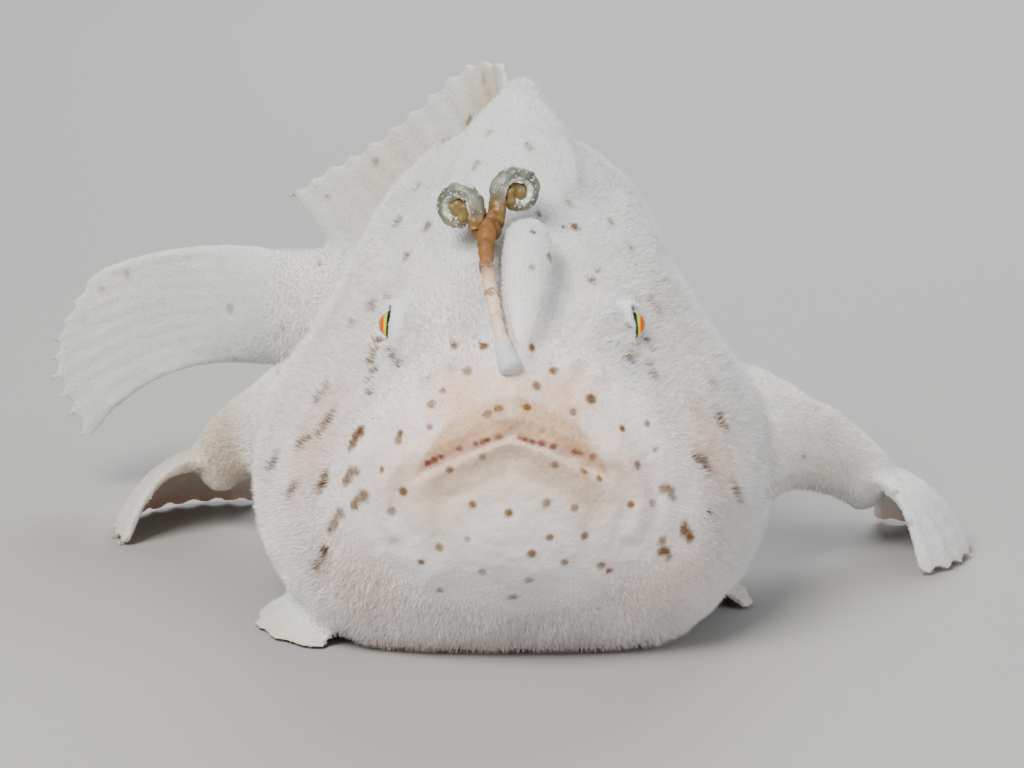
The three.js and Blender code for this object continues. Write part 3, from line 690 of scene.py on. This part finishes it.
def placeMarks(skin, points, cameraPlace, back):
    tree = BVHTree.FromPolygons([Vector(p) for p in points], [list(f.vertices) for f in skin.data.polygons])
    eyeMiddle = Vector((0, eyeLook["place"][1], eyeLook["place"][2]))
    right = Vector((1, 0, 0))
    up = back.cross(right)
    start = cameraPlace / mm
    draw = random.Random(scatteredMarks["seed"])
    placed = []
    for name, group in markGroups.items():
        for across, high in group["spots"]:
            strength = draw.uniform(*group.get("strength", markChance["strength"]))
            lean = 1 if across < 0 else -1
            for step in range(group.get("trail", 1)):
                side = across + lean * step * markTrail[0] * draw.uniform(*markChance["apart"])
                rise = high + step * markTrail[1] * draw.uniform(*markChance["apart"])
                aim = (eyeMiddle + right * side + up * rise - start).normalized()
                hit = tree.ray_cast(start, aim)[0]
                if hit is not None:
                    size = group["radius"] * draw.uniform(*markChance["size"])
                    fading = draw.uniform(*markChance["fading"])
                    placed.append((markKinds[name], np.array(hit), size, strength * fading))
    wanted = len(placed) + scatteredMarks["count"]
    while len(placed) < wanted:
        spot = points[draw.randrange(len(points))]
        if inView(spot) or spot[2] < scatteredMarks["lowest"]:
            continue
        size, strength = (draw.uniform(*scatteredMarks[key]) for key in ("radius", "strength"))
        placed.append((0, spot, size, strength))
    return placed


faceTints = {  # spans in mm: from the middle, or above the line of the mouth
    "front": (-8.0, -11.0),
    "lip": {"height": 1.9, "halfWidth": 5.8, "top": (0.3, 0.2), "bottom": (-0.15, 0.15),
            "end": (6.2, 5.4), "peach": 0.8, "ochre": 0.5},
    "chin": {"below": 1.3, "width": 2.0, "top": (0.1, -0.2),
             "end": (6.0, 4.5), "peach": 0.45, "ochre": 0.42},
    "mouth": {"peach": 0.5, "width": 2.4},
    "strip": {"loss": 0.85, "width": 0.32, "bottom": (15.7, 16.0), "top": (18.2, 17.4)},
    "belly": {"peach": 0.35, "top": (1.4, 0.2)},
    "cool": {"fin": 0.5, "back": 0.5, "low": (20, 28)},
}


def lipAndChin(points):
    # how far each point lies on the upper lip and on the chin, and its distance from the mouth
    wide = np.abs(points[:, 0])
    mouth, side = lineDistance(points, sidedLine(mouthLine[:6]))
    above = mouth * side
    form = faceTints["lip"]
    top = form["height"] * (1 - (points[:, 0] / form["halfWidth"]) ** 4)
    lip = smoothStep(top + form["top"][0], top - form["top"][1], above)
    lip = lip * smoothStep(*form["bottom"], above) * smoothStep(*form["end"], wide)
    form = faceTints["chin"]
    chin = hump(above + form["below"], form["width"]) * smoothStep(*form["top"], above)
    return lip, chin * smoothStep(*form["end"], wide), mouth


def peachOf(points, front, lip, chin, mouth):
    x, _, z = points.T
    around, strip, belly = (faceTints[name] for name in ("mouth", "strip", "belly"))
    peach = np.maximum(faceTints["chin"]["peach"] * chin, around["peach"] * hump(mouth, around["width"]))
    peach = front * np.maximum(faceTints["lip"]["peach"] * lip, peach)
    for place, radius, amount in peachAreas:
        for spot in bothSides(place):
            peach = np.maximum(peach, amount * near(points, spot, radius))
    peach = np.maximum(peach, belly["peach"] * smoothStep(*belly["top"], z))
    pale = strip["loss"] * hump(x, strip["width"]) * smoothStep(*strip["bottom"], z)
    return peach * (1 - pale * smoothStep(*strip["top"], z) * front)


def paintSkin(skin, finShare, cameraPlace, back):
    points, _ = readPoints(skin)
    marks = np.zeros((len(points), 3))
    for kind, place, radius, strength in placeMarks(skin, points, cameraPlace, back):
        distance = np.linalg.norm(points - place, axis=1)
        marks[:, kind] = np.maximum(marks[:, kind], strength * smoothStep(*markEdge, distance / radius))
    front = smoothStep(*faceTints["front"], points[:, 1])
    lip, chin, mouth = lipAndChin(points)
    peach = peachOf(points, front, lip, chin, mouth)
    ochre = front * (faceTints["lip"]["ochre"] * lip + faceTints["chin"]["ochre"] * chin)
    for place, radius, amount in ochreAreas:
        ochre = np.maximum(ochre, amount * near(points, place, radius))
    tint = faceTints["cool"]
    cool = tint["fin"] * finShare + tint["back"] * smoothStep(*tint["low"], points[:, 2]) * (1 - finShare)
    cool = evenOut(cool, edgePairs(skin), skinForm["tintSmoothing"])
    setColours(skin, "marks", np.minimum(marks, 1))
    setColours(skin, "tints", np.stack([peach, ochre, cool], 1))
    skin.data.materials.append(skinShader("whiteSkin", 0.6))


peachAreas = [  # place, radius in mm and strength, on both sides
    ((0, -15.4, 17.6), 1.9, 0.75),
    ((3.0, -15.0, 17.3), 2.4, 0.8),
    ((6.0, -13.6, 14.6), 2.0, 0.36),
    ((0, -16.2, 12.6), 4.0, 0.16),
    ((11.5, -8.0, 12.5), 4.2, 0.42),
    ((8.6, -11.0, 6.5), 4.0, 0.3),
    ((3.6, -13.2, 20.2), 2.0, 0.16),
]
ochreAreas = [  # the same, each on one side only
    ((-18.0, 14.0, 6.0), 5.5, 0.55),
    ((-22.0, 18.5, 2.5), 5.0, 0.45),
    ((19.5, 10.5, 7.0), 4.5, 0.22),
    # The next two, at the root of the soft dorsal fin, are its ochre colour and also painted shade where the
    # fin meets the body.
    ((-3.0, 13.0, 28.5), 3.2, 0.75),
    ((-9.0, 18.0, 22.5), 3.6, 0.75),
    ((-1.2, -8.6, 23.0), 1.3, 0.25),
    ((-1.7, -6.2, 24.2), 1.3, 0.5),
]


# Coat: forked spinules over the skin, each two slender closed prongs of 4 triangles from one root

coatForm = {  # mm and shares
    "seed": 5,
    "perFace": 2.3,  # spinules on a full-size face of the skin
    "perPiece": 24000,
    "smoothing": 16,
    "width": (0.03, 0.044),
    "widthByLength": (0.55, 0.6, 0.8),  # the least, what each mm adds, and the longest that counts
    "darkWidth": 0.35,
    "sunk": 0.05,
    "fork": 0.3,
    "forkChance": (0.4, 1),
    "secondProng": (0.72, 1),
    "aboveFloor": 0.02,
    "patch": 0.0015,  # of the unwrap's width
}
coatChange = {  # spans in mm over which the coat changes, and shares of its length or number
    "faceBack": (-10.5, -14.0), "faceLow": (4.0, 7.5), "faceLoss": 0.72, "faceBare": 0.5,
    "crownLow": (19.5, 24), "crownBack": (14, 2), "crownLoss": 0.5, "crownLean": 0.3,
    "eye": (1.2, 2.6), "byEye": (0.2, 0.8), "mouthWidth": 0.5, "mouthLoss": 0.8, "mouthBack": -9,
    "chance": (0.62, 1.0), "dark": (0.2, 0.5), "darkGain": 0.3, "lean": 0.3, "stray": 0.17,
    "shortest": 0.045, "downward": -0.8, "low": 0.3, "aboveFloor": 0.03,
}
coatLie = {  # spans in mm, and how far the coat leans each way
    "curl": (8, 24), "straightLoss": 0.7, "down": -0.55,
    "face": (-6, -12), "outward": 0.12, "browLow": 12, "brow": 0.3, "cheek": -0.8,
}
unwrapping = {"angle_limit": math.radians(66), "island_margin": 0.004}


def unwrapSkin(skin):
    editAll(skin, bpy.ops.uv.smart_project, **unwrapping)
    skin.data.uv_layers.active.name = "OFBake"


def growRoots(skin, rng):
    # four corners of a face, their places on the unwrap and the root's shares of them, for each spinule
    mesh = skin.data
    starts, totals = (fetch(mesh.polygons, key, 1, np.int64) for key in ("loop_start", "loop_total"))
    areas = fetch(mesh.polygons, "area") / mm ** 2
    loops = fetch(mesh.loops, "vertex_index", 1, np.int64)
    uvs = fetch(mesh.uv_layers["OFBake"].data, "uv", 2)
    expected = coatForm["perFace"] * areas / (skinForm["voxel"] / mm) ** 2
    number = np.floor(expected + rng.random(len(expected))).astype(int)
    face = np.repeat(np.arange(len(number)), number)
    picked = [starts[face] + np.minimum(k, totals[face] - 1) for k in range(4)]
    u, v = rng.random(len(face)), rng.random(len(face))
    shares = np.stack([(1 - u) * (1 - v), u * (1 - v), u * v, (1 - u) * v], 1)
    return [loops[corner] for corner in picked], [uvs[corner] for corner in picked], shares


def blendCorners(corners, shares, values):
    return sum(shares[:, [k]] * values[corners[k]] for k in range(4))


def unit(vectors):
    return vectors / np.maximum(np.linalg.norm(vectors, axis=1, keepdims=True), 1e-9)


def lieOf(points, normals):
    # the way the coat leans: back along the fish, and down on its sides
    x, y, z = points.T
    curl = smoothStep(*coatLie["curl"], y)
    back = np.stack([-curl, 1 - coatLie["straightLoss"] * curl, np.full(len(x), coatLie["down"])], 1)
    face = smoothStep(*coatLie["face"], y)[:, None]
    rise = np.where(z > coatLie["browLow"], coatLie["brow"], coatLie["cheek"])
    outward = np.stack([x * coatLie["outward"], np.zeros(len(x)), rise], 1)
    lie = back * (1 - face) + outward * face
    return unit(lie - normals * (lie * normals).sum(1, keepdims=True))


def growCoat(skin, owner):
    rng = np.random.default_rng(coatForm["seed"])
    points, normals = readPoints(skin)
    corners, places, shares = growRoots(skin, rng)
    root = blendCorners(corners, shares, points)
    normal = unit(blendCorners(corners, shares, normals))
    uv = sum(shares[:, [k]] * places[k] for k in range(4))
    mark, tint = (blendCorners(corners, shares, readColours(skin, name)) for name in ("marks", "tints"))
    full = np.array(list(coatRoom.values()))[owner, 1]
    full = evenOut(full, edgePairs(skin), coatForm["smoothing"])
    length = blendCorners(corners, shares, full[:, None])[:, 0]
    _, y, z = root.T
    change = coatChange
    face = smoothStep(*change["faceBack"], y) * smoothStep(*change["faceLow"], z)
    crown = smoothStep(*change["crownLow"], z) * smoothStep(*change["crownBack"], y)
    length = length * (1 - change["faceLoss"] * face) * (1 - change["crownLoss"] * crown)
    least, gain = change["byEye"]
    for distance in eyeDistances(root):
        length *= least + gain * smoothStep(*change["eye"], distance)
    mouth, _ = lineDistance(root, sidedLine(mouthLine))
    length *= 1 - change["mouthLoss"] * hump(mouth, change["mouthWidth"]) * (y < change["mouthBack"])
    length *= rng.uniform(*change["chance"], len(length))
    dark = smoothStep(*change["dark"], mark.max(1))
    length *= 1 + change["darkGain"] * dark * (1 - face)
    lean = change["lean"] + change["crownLean"] * crown
    stray = rng.normal(0, change["stray"], root.shape)
    direction = unit(normal + lieOf(root, normal) * lean[:, None] + stray)
    floorRoom = (change["aboveFloor"] - root[:, 2]) / length
    direction[:, 2] = np.maximum(direction[:, 2], floorRoom)
    keep = (length > change["shortest"]) & (rng.random(len(length)) < 1 - change["faceBare"] * face)
    keep &= ~((normal[:, 2] < change["downward"]) & (root[:, 2] < change["low"]))
    shape = buildSpinules(root[keep], normal[keep], direction[keep], length[keep], dark[keep], rng)
    return shape, uv[keep], mark[keep], tint[keep]


def readColours(skin, name):
    return fetch(skin.data.attributes[name].data, "color", 4)[:, :3]


# one spinule: a prong of three root points and a tip, and another beside it
prongFaces = [(0, 2, 1), (0, 1, 3), (1, 2, 3), (2, 0, 3)]
spinuleFaces = prongFaces + [tuple(corner + 4 for corner in face) for face in prongFaces]


def buildSpinules(root, normal, direction, length, dark, rng):
    count = len(root)
    spin = unit(np.cross(direction, rng.normal(0, 1, root.shape)))
    other = np.cross(direction, spin)
    least, gain, longest = coatForm["widthByLength"]
    width = rng.uniform(*coatForm["width"], count) * (least + gain * np.minimum(length, longest))
    width = width * (1 + coatForm["darkWidth"] * dark)
    sunk = root - normal * coatForm["sunk"]
    around = np.zeros((count, 8, 3))
    spread = (coatForm["fork"] * length * rng.uniform(*coatForm["forkChance"], count))[:, None]
    for prong, way in enumerate((1, -1)):
        base = sunk + other * (way * 0.5 * width)[:, None]
        for k in range(3):
            angle = 2 * math.pi * k / 3
            out = spin * math.cos(angle) + other * math.sin(angle)
            around[:, 4 * prong + k] = base + width[:, None] * out
        reach = length * (1 if prong == 0 else rng.uniform(*coatForm["secondProng"], count))
        around[:, 4 * prong + 3] = root + direction * reach[:, None] + other * (way * spread)
    around[:, :, 2] = np.maximum(around[:, :, 2], coatForm["aboveFloor"])
    around[:, :, 1] = np.maximum(around[:, :, 1], cadBox[0][1] / mm)
    return around


def makeCoat(skin, owner):
    around, uv, mark, tint = growCoat(skin, owner)
    print("spinules:", len(around), "triangles:", len(around) * len(spinuleFaces))
    order = np.argsort(around[:, 0, 1], kind="stable")
    material = skinShader("paleCoat", 0.55, tips=True)
    reach = np.array([0, 0, 0, 1, 0, 0, 0, 1])  # 1 at each prong's tip
    corners = len(reach)
    perPiece = coatForm["perPiece"]
    for number, first in enumerate(range(0, len(order), perPiece)):
        chosen = order[first:first + perPiece]
        count = len(chosen)
        starts = np.arange(count)[:, None, None] * corners
        faces = (starts + np.array(spinuleFaces)[None]).reshape(-1, 3)
        piece = meshPiece(f"coat_{number + 1}", around[chosen].reshape(-1, 3), faces.tolist())
        setColours(piece, "marks", np.repeat(mark[chosen], corners, axis=0))
        setColours(piece, "tints", np.repeat(tint[chosen], corners, axis=0))
        setColours(piece, "reach", np.repeat(np.tile(reach, count)[:, None], 3, axis=1))
        layUV(piece, uv[chosen])
        piece.data.materials.append(material)
        settle(piece, "skin")


def layUV(piece, uv):
    # each spinule is a small patch at its root's place on the unwrap of the skin
    angles = [2 * math.pi * k / 8 for k in range(8)]
    corner = np.array([(math.cos(angle), math.sin(angle)) for angle in angles]) * coatForm["patch"]
    layer = piece.data.uv_layers.new(name="OFBake")
    spots = uv[:, None, None, :] + corner[np.array(spinuleFaces)][None]
    layer.data.foreach_set("uv", spots.reshape(-1))


# Eyes

eyeForm = {  # the ball's share of its solid, its bulge in mm, and angles in degrees
    "share": 0.965, "bulge": 0.19, "bulgeWidth": 42, "span": 100, "segments": 72, "rings": 48}
# The yellow, orange and red ring is partly the iris's own colour and partly painted light passing through the
# cornea's edge. The dark band from 0.5 to 0.6 is a dark limbus and also painted shadow in the gap between lid
# and eye.
irisStops = [  # along the angle from the pupil's middle, as a share of the span
    (0.0, (0.003, 0.003, 0.004)), (0.15, (0.003, 0.003, 0.004)), (0.17, (0.5, 0.5, 0.12)),
    (0.25, (0.62, 0.035, 0.0)), (0.36, (0.7, 0.09, 0.0)), (0.41, (0.85, 0.5, 0.0)),
    (0.475, (0.75, 0.62, 0.0)), (0.5, (0.008, 0.06, 0.02)), (0.6, (0.003, 0.012, 0.006))]
irisLook = {
    "spokes": 26, "rings": 3, "streaks": {"Scale": 1.6, "Detail": 3}, "waver": 0.07,
    "inner": (0.24, 0.3), "outer": (0.46, 0.52),
    "top": (0.68, 0.9), "topShare": 0.8, "green": (0.12, 0.5, 0.16),
    "bottom": (0.15, 0.42), "bottomShare": 0.7, "yellow": (0.78, 0.56, 0.02),
    "white": (0.62, 0.67), "bump": (0.2, 0.05 * mm),
}
# the iris's wet gloss from its coat and low specular level, and its painted glow from the emission
eyeWetAndGlow = {"Emission Strength": 0.3, "Coat Weight": 0.15, "Specular IOR Level": 0.15, "Coat Roughness": 0.04}


def irisShader():
    shade = Shader("goldenIris", 0.18)
    look = irisLook
    gaze, spoke, high = shade.split("gaze")
    parts = {"X": spoke * look["spokes"], "Y": gaze * look["rings"]}
    spot = shade.node("ShaderNodeCombineXYZ", None, parts)
    streak = shade.node("ShaderNodeTexNoise", {"noise_dimensions": "2D"}, {"Vector": spot, **look["streaks"]})
    reach = gaze + (streak - 0.5) * look["waver"]
    colour = shade.node("ShaderNodeValToRGB", {"stops": irisStops}, {0: reach})
    iris = gaze.step(*look["inner"]) * (1 - gaze.step(*look["outer"]))
    # the green top and the yellow bottom are partly the iris's own colour and partly painted light passing
    # through the cornea's edge
    colour = shade.mix(high.step(*look["top"]) * iris * look["topShare"], colour, look["green"])
    low = 1 - high.step(*look["bottom"])
    colour = shade.mix(low * iris * look["bottomShare"], colour, look["yellow"])
    colour = shade.mix(gaze.step(*look["white"]), colour, skinColours["shade"])
    # the iris's colour is also its emission: a painted glow on top of its own colour
    for setting, value in {"Base Color": colour, "Emission Color": colour, **eyeWetAndGlow}.items():
        shade.set(setting, value)
    shade.bump(streak, *look["bump"])
    return shade.material


def makeEye(side, name, material):
    low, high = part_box(name)
    centre = (low + high) / 2
    radius = (high.z - low.z) / 2
    deselect()
    bpy.ops.mesh.primitive_uv_sphere_add(
        segments=eyeForm["segments"], ring_count=eyeForm["rings"], radius=radius, location=(0, 0, 0))
    eye = bpy.context.object
    eye.name = eye.data.name = "eyeball_" + name.split("_")[1]
    gaze = Vector(eyeLook["gaze"])
    gaze.x *= side
    gaze.normalize()
    turn = gaze.to_track_quat("Z", "Y").to_matrix()
    values = []
    for vertex in eye.data.vertices:
        direction = vertex.co.normalized()
        angle = math.degrees(direction.angle(Vector((0, 0, 1))))
        bulge = math.exp(-(angle / eyeForm["bulgeWidth"]) ** 2)
        world = turn @ direction
        spoke = abs(math.atan2(direction.y, direction.x)) / math.pi
        values.append((min(1.0, angle / eyeForm["span"]), spoke, 0.5 + 0.5 * world.z))
        vertex.co = centre + world * (radius * eyeForm["share"] + eyeForm["bulge"] * mm * bulge)
    setColours(eye, "gaze", np.array(values))
    makeActive(eye)
    bpy.ops.object.shade_smooth()
    eye.data.materials.append(material)
    settle(eye, "eye", name)


# Lure: a banded rod with two rolled worms

rodForm = {  # mm
    "path": [(0.02, -14.75, 18.65), (-0.65, -13.1, 20.35), (-1.15, -10.9, 22.15), (-1.55, -8.2, 24.0),
             (-1.5, -5.9, 25.5), (-1.5, -5.5, 25.85)],
    "sizes": [0.82, 0.42, 0.38, 0.44, 0.62, 0.62],
    "steps": 24,
    "around": 20,
    "least": 0.08,  # of a ring's size, at the ends
    "waves": (2.2, 0.1, 9),  # scale, height and seed
    # the knob at the top: place, radius and shape of each lump, and its place along the rod's colours
    "knob": [((-1.55, -5.75, 25.3), 1, (0.95, 0.55, 0.75)), ((-1.2, -5.5, 25.9), 1, (0.5, 0.45, 0.6)),
             ((-2.1, -5.6, 25.6), 1, (0.5, 0.45, 0.5))],
    "knobAlong": 0.86,
}
wormForm = {  # mm, and shares of the way from the root to the end of the roll
    "seed": 21,
    "worms": [
        {"node": "esca_worm_right", "root": (-2.1, -5.75, 25.3), "centre": (-3.2, -4.95, 26.5),
         "turn": -0.5, "start": -10, "way": 1},
        {"node": "esca_worm_left", "root": (-1.0, -5.6, 25.7), "centre": (0.3, -3.9, 27.3),
         "turn": 0.35, "start": 190, "way": -1},
    ],
    "radius": 1.24,
    "turns": 0.84,
    "inward": 1.5,  # how far the roll goes on, as a share of those turns
    "tightening": (0.42, 1.6),  # the radius lost in those turns, and the power it goes with
    "rise": 0.6,
    "leadSteps": 14,
    "rollSteps": 84,
    "around": 24,
    "sizes": (0.35, 0.65, 9, 0.25),  # the end, the body, how sharply it rounds off, and the taper
    "deep": 0.66,
    "thick": 0.5,
    "core": (0.62, 0.4, 0.62),
    "waves": (2.6, 0.12, 5),
    "rolled": (0.1, 0.2),
    "coreFrom": (0.62, 0.74),
    "rim": ((0.15, 0.5), (-0.3, 0.4)),  # spans inward and forward, as for the inner side
    "inner": ((0.3, 0.7), (0.2, -0.2)),
    "grains": {"count": 190, "size": (0.03, 0.07), "first": 16, "last": 0.72,
               "rimChance": 0.75, "rim": (0.75, 0.3), "side": (1.4, 2.9)},  # angles from the roll's middle
}
# values of the lure's colours on the joined pieces: along, rim and inner
coreValue, grainValue = [0.5, 0.0, 1.0], [0.5, 1.0, 0.0]


def perRing(values, around):
    # the values of a tube's rings, at each of its points and at the middles of both ends
    return np.array([value for value in values for _ in range(around)] + [values[0], values[-1]])


def tubePiece(name, path, sizes, around, upHint):
    rings = []
    path = [Vector(p) for p in path]
    for i, centre in enumerate(path):
        ahead = (path[min(i + 1, len(path) - 1)] - path[max(i - 1, 0)]).normalized()
        side = ahead.cross(Vector(upHint)).normalized()
        over = side.cross(ahead)
        rings.append([centre + (side * math.cos(a) + over * math.sin(a)) * sizes[i]
                      for a in (2 * math.pi * k / around for k in range(around))])
    points = np.array([p for ring in rings for p in ring] + [path[0], path[-1]])
    faces = []
    for i in range(len(path) - 1):
        for k in range(around):
            a, b = i * around + k, i * around + (k + 1) % around
            faces.append((a, b, b + around, a + around))
    last = (len(path) - 1) * around
    for k in range(around):
        faces.append((k, len(points) - 2, (k + 1) % around))
        faces.append((last + k, last + (k + 1) % around, len(points) - 1))
    piece = meshPiece(name, points, faces)
    editAll(piece, bpy.ops.mesh.normals_make_consistent, inside=False)
    bpy.ops.object.shade_smooth()
    return piece


def roughen(piece, scale, amount, seed):
    points, normals = readPoints(piece)
    writePoints(piece, points + normals * roughness(points, scale, amount, seed)[:, None])


rodLook = {"foot": (0.6, 0.64, 0.66), "bands": 52, "waver": 9, "bandEdge": (0.35, 0.9),
           "fine": (1900, 3), "bump": (0.4, 0.08 * mm)}
rodLayers = [  # colour, where it begins along the rod, its least strength, what the grain adds, and if banded
    ((0.83, 0.62, 0.5), (0.1, 0.2), 1, 0, False),
    ((0.7, 0.42, 0.22), (0.3, 0.6), 0.4, 0, False),
    ((0.24, 0.095, 0.02), (0.44, 0.62), 0.85, 0.4, False),
    ((0.15, 0.07, 0.018), (0.2, 0.45), 0.7, 0, True),
    ((0.17, 0.085, 0.02), (0.8, 0.88), 0.5, 0.7, False),
]
wormLook = {
    "dark": (0.11, 0.115, 0.07), "grey": (0.26, 0.27, 0.21), "greyFrom": (0.35, 0.7),
    "root": (0.2, 0.1, 0.022), "rootTo": (0.06, 0.22), "inner": (0.2, 0.135, 0.035), "uneven": (0.8, 0.4),
    "rim": (0.8, 0.82, 0.78), "rimEdge": (0.32, 0.52),
    "fine": (3000, 3), "wide": (800, 2), "bump": (0.6, 0.1 * mm),
}


def rodShader():
    shade = Shader("bandedRod", 0.5)
    along = shade.split("along")[0]
    fine = shade.grain(*rodLook["fine"])
    wave = along * rodLook["bands"] + fine * rodLook["waver"]
    bands = shade.node("ShaderNodeMath", {"operation": "SINE"}, {0: wave}).step(*rodLook["bandEdge"])
    base = rodLook["foot"]
    for colour, span, least, gain, banded in rodLayers:
        amount = along.step(*span) * (least + fine * gain)
        base = shade.mix(amount * bands if banded else amount, base, colour)
    shade.set("Base Color", base)
    shade.bump(fine, *rodLook["bump"])
    return shade.material


def wormShader():
    shade = Shader("oliveWorm", 0.45)
    look = wormLook
    along, rim, inner = shade.split("along")
    fine = shade.grain(*look["fine"])
    wide = shade.grain(*look["wide"])
    colour = shade.mix(wide.step(*look["greyFrom"]), look["dark"], look["grey"])
    least, gain = look["uneven"]
    colour = shade.mix((1 - along.step(*look["rootTo"])) * (least + fine * gain), colour, look["root"])
    colour = shade.mix(inner * (least + fine * gain), colour, look["inner"])
    colour = shade.mix(rim * fine.step(*look["rimEdge"]), colour, look["rim"])
    for setting, value in {"Base Color": colour, "Coat Weight": 0.25, "Coat Roughness": 0.25}.items():
        shade.set(setting, value)
    shade.bump(fine, *look["bump"])
    return shade.material


def bezier(a, b, c, t):
    return (1 - t) ** 2 * a + 2 * t * (1 - t) * b + t * t * c


def wormPath(worm):
    # the middle line of a worm, with its size at each step and the share of the way there
    turn, centre = worm["turn"], Vector(worm["centre"])
    lost, power = wormForm["tightening"]

    def roll(t):
        angle = math.radians(worm["start"]) + 2 * math.pi * wormForm["turns"] * t * worm["way"]
        reach = wormForm["radius"] * (1 - lost * t ** power)
        across = reach * math.cos(angle)
        return centre + Vector((across * math.cos(turn), across * math.sin(turn), reach * math.sin(angle)))

    first, root = roll(0), Vector(worm["root"])
    below = Vector((first.x, first.y, first.z + wormForm["rise"] * (root.z - first.z)))
    lead, steps = wormForm["leadSteps"], wormForm["rollSteps"]
    path = [bezier(root, below, first, k / lead) for k in range(lead)]
    path += [roll(wormForm["inward"] * k / steps) for k in range(steps + 1)]
    shares = [i / (len(path) - 1) for i in range(len(path))]
    end, body, sharp, taper = wormForm["sizes"]
    sizes = [end + body * min(1, sharp * (1 - share)) - taper * share for share in shares]
    return path, sizes, shares


def addBalls(piece, balls, value, subdivisions, smooth):
    # balls of a place, a radius and a shape, joined to a piece, all with one value of its colours
    made = []
    for place, radius, shape in balls:
        deselect()
        bpy.ops.mesh.primitive_ico_sphere_add(
            subdivisions=subdivisions, radius=radius * mm, location=Vector(place) * mm, scale=shape)
        ball = bpy.context.object
        bpy.ops.object.transform_apply(location=True, rotation=False, scale=True)
        if smooth:
            bpy.ops.object.shade_smooth()
        setColours(ball, "along", np.tile(value, (len(ball.data.vertices), 1)))
        made.append(ball)
    makeActive(piece, *made)
    bpy.ops.object.join()


def wormGrains(path, sizes, centre, forward, draw):
    # small round grains, most of them along the rim that faces forward
    form = wormForm["grains"]
    balls = []
    for _ in range(form["count"]):
        step = draw.randrange(form["first"], int(form["last"] * len(path)))
        place = np.array(path[step])
        inward = centre - place
        inward /= np.linalg.norm(inward)
        onRim = draw.random() < form["rimChance"]
        angle = draw.gauss(*form["rim"]) if onRim else draw.uniform(*form["side"])
        out = forward * math.sin(angle) * wormForm["deep"] + inward * math.cos(angle) * wormForm["thick"]
        balls.append((place + out * sizes[step], draw.uniform(*form["size"]), (1, 1, 1)))
    return balls


def makeWorm(worm, material, draw):
    path, sizes, shares = wormPath(worm)
    around = wormForm["around"]
    forward = np.array((math.sin(worm["turn"]), -math.cos(worm["turn"]), 0))
    piece = tubePiece("rolled_" + worm["node"], path, sizes, around, forward)
    centre = np.array(worm["centre"])
    points, _ = readPoints(piece)
    t, middle = perRing(shares, around), perRing(path, around)
    off = points - middle
    deep = off @ forward
    flat = off - deep[:, None] * forward
    toward = (flat * unit(centre - middle)).sum(1)
    points = middle + flat * wormForm["thick"] + (deep * wormForm["deep"])[:, None] * forward
    writePoints(piece, points)
    rolled, core = smoothStep(*wormForm["rolled"], t), smoothStep(*wormForm["coreFrom"], t)
    rim, inner = (
        smoothStep(*inward, toward) * smoothStep(*ahead, deep) * rolled
        for inward, ahead in (wormForm["rim"], wormForm["inner"]))
    setColours(piece, "along", np.stack([t, rim * (1 - core), np.maximum(core, inner)], 1))
    addBalls(piece, [(worm["centre"], 1, wormForm["core"])], coreValue, 4, True)
    roughen(piece, *wormForm["waves"])
    addBalls(piece, wormGrains(path, sizes, centre, forward, draw), grainValue, 1, False)
    piece.data.materials.append(material)
    settle(piece, "lure_worm", worm["node"])


def roundEnds(path, sizes):
    # narrows a tube to a half ball at both ends
    steps = [0] + [(Vector(b) - Vector(a)).length for a, b in zip(path[:-1], path[1:])]
    run = np.cumsum(steps)
    fit = []
    for reach, size in zip(run, sizes):
        left = min(1, min(reach, run[-1] - reach) / size)
        fit.append(size * max(rodForm["least"], math.sqrt(1 - (1 - left) ** 2)))
    return fit


def makeLure():
    steps, around = rodForm["steps"], rodForm["around"]
    path = [tuple(p) for p in smoothLine(rodForm["path"], steps)]
    sizes = [float(s[0]) for s in smoothLine([(s, 0) for s in rodForm["sizes"]], steps)]
    rod = tubePiece("lureRod", path, roundEnds(path, sizes), around, (1, 0, 0))
    share = perRing([i / (len(path) - 1) for i in range(len(path))], around)
    setColours(rod, "along", np.stack([share, share, share], 1))
    addBalls(rod, rodForm["knob"], [rodForm["knobAlong"]] * 3, 4, True)
    roughen(rod, *rodForm["waves"])
    rod.data.materials.append(rodShader())
    settle(rod, "lure_rod", "illicium")
    draw = random.Random(wormForm["seed"])
    material = wormShader()
    for worm in wormForm["worms"]:
        makeWorm(worm, material, draw)


# The model

cameraPlace, cameraBack = addCamera()
addStage()
print("stage and camera done")

skin = fuseSkin()
refineFace(skin)
owner, finShare = shapeSkin(skin)
paintSkin(skin, finShare, cameraPlace, cameraBack)
unwrapSkin(skin)
settle(skin, "skin", *coatRoom)
print("skin done:", sum(len(f.vertices) - 2 for f in skin.data.polygons), "triangles")

makeCoat(skin, owner)
print("coat done")

iris = irisShader()
for side, name in ((1, "eye_left"), (-1, "eye_right")):
    makeEye(side, name, iris)
makeLure()
print("eyes and lure done")
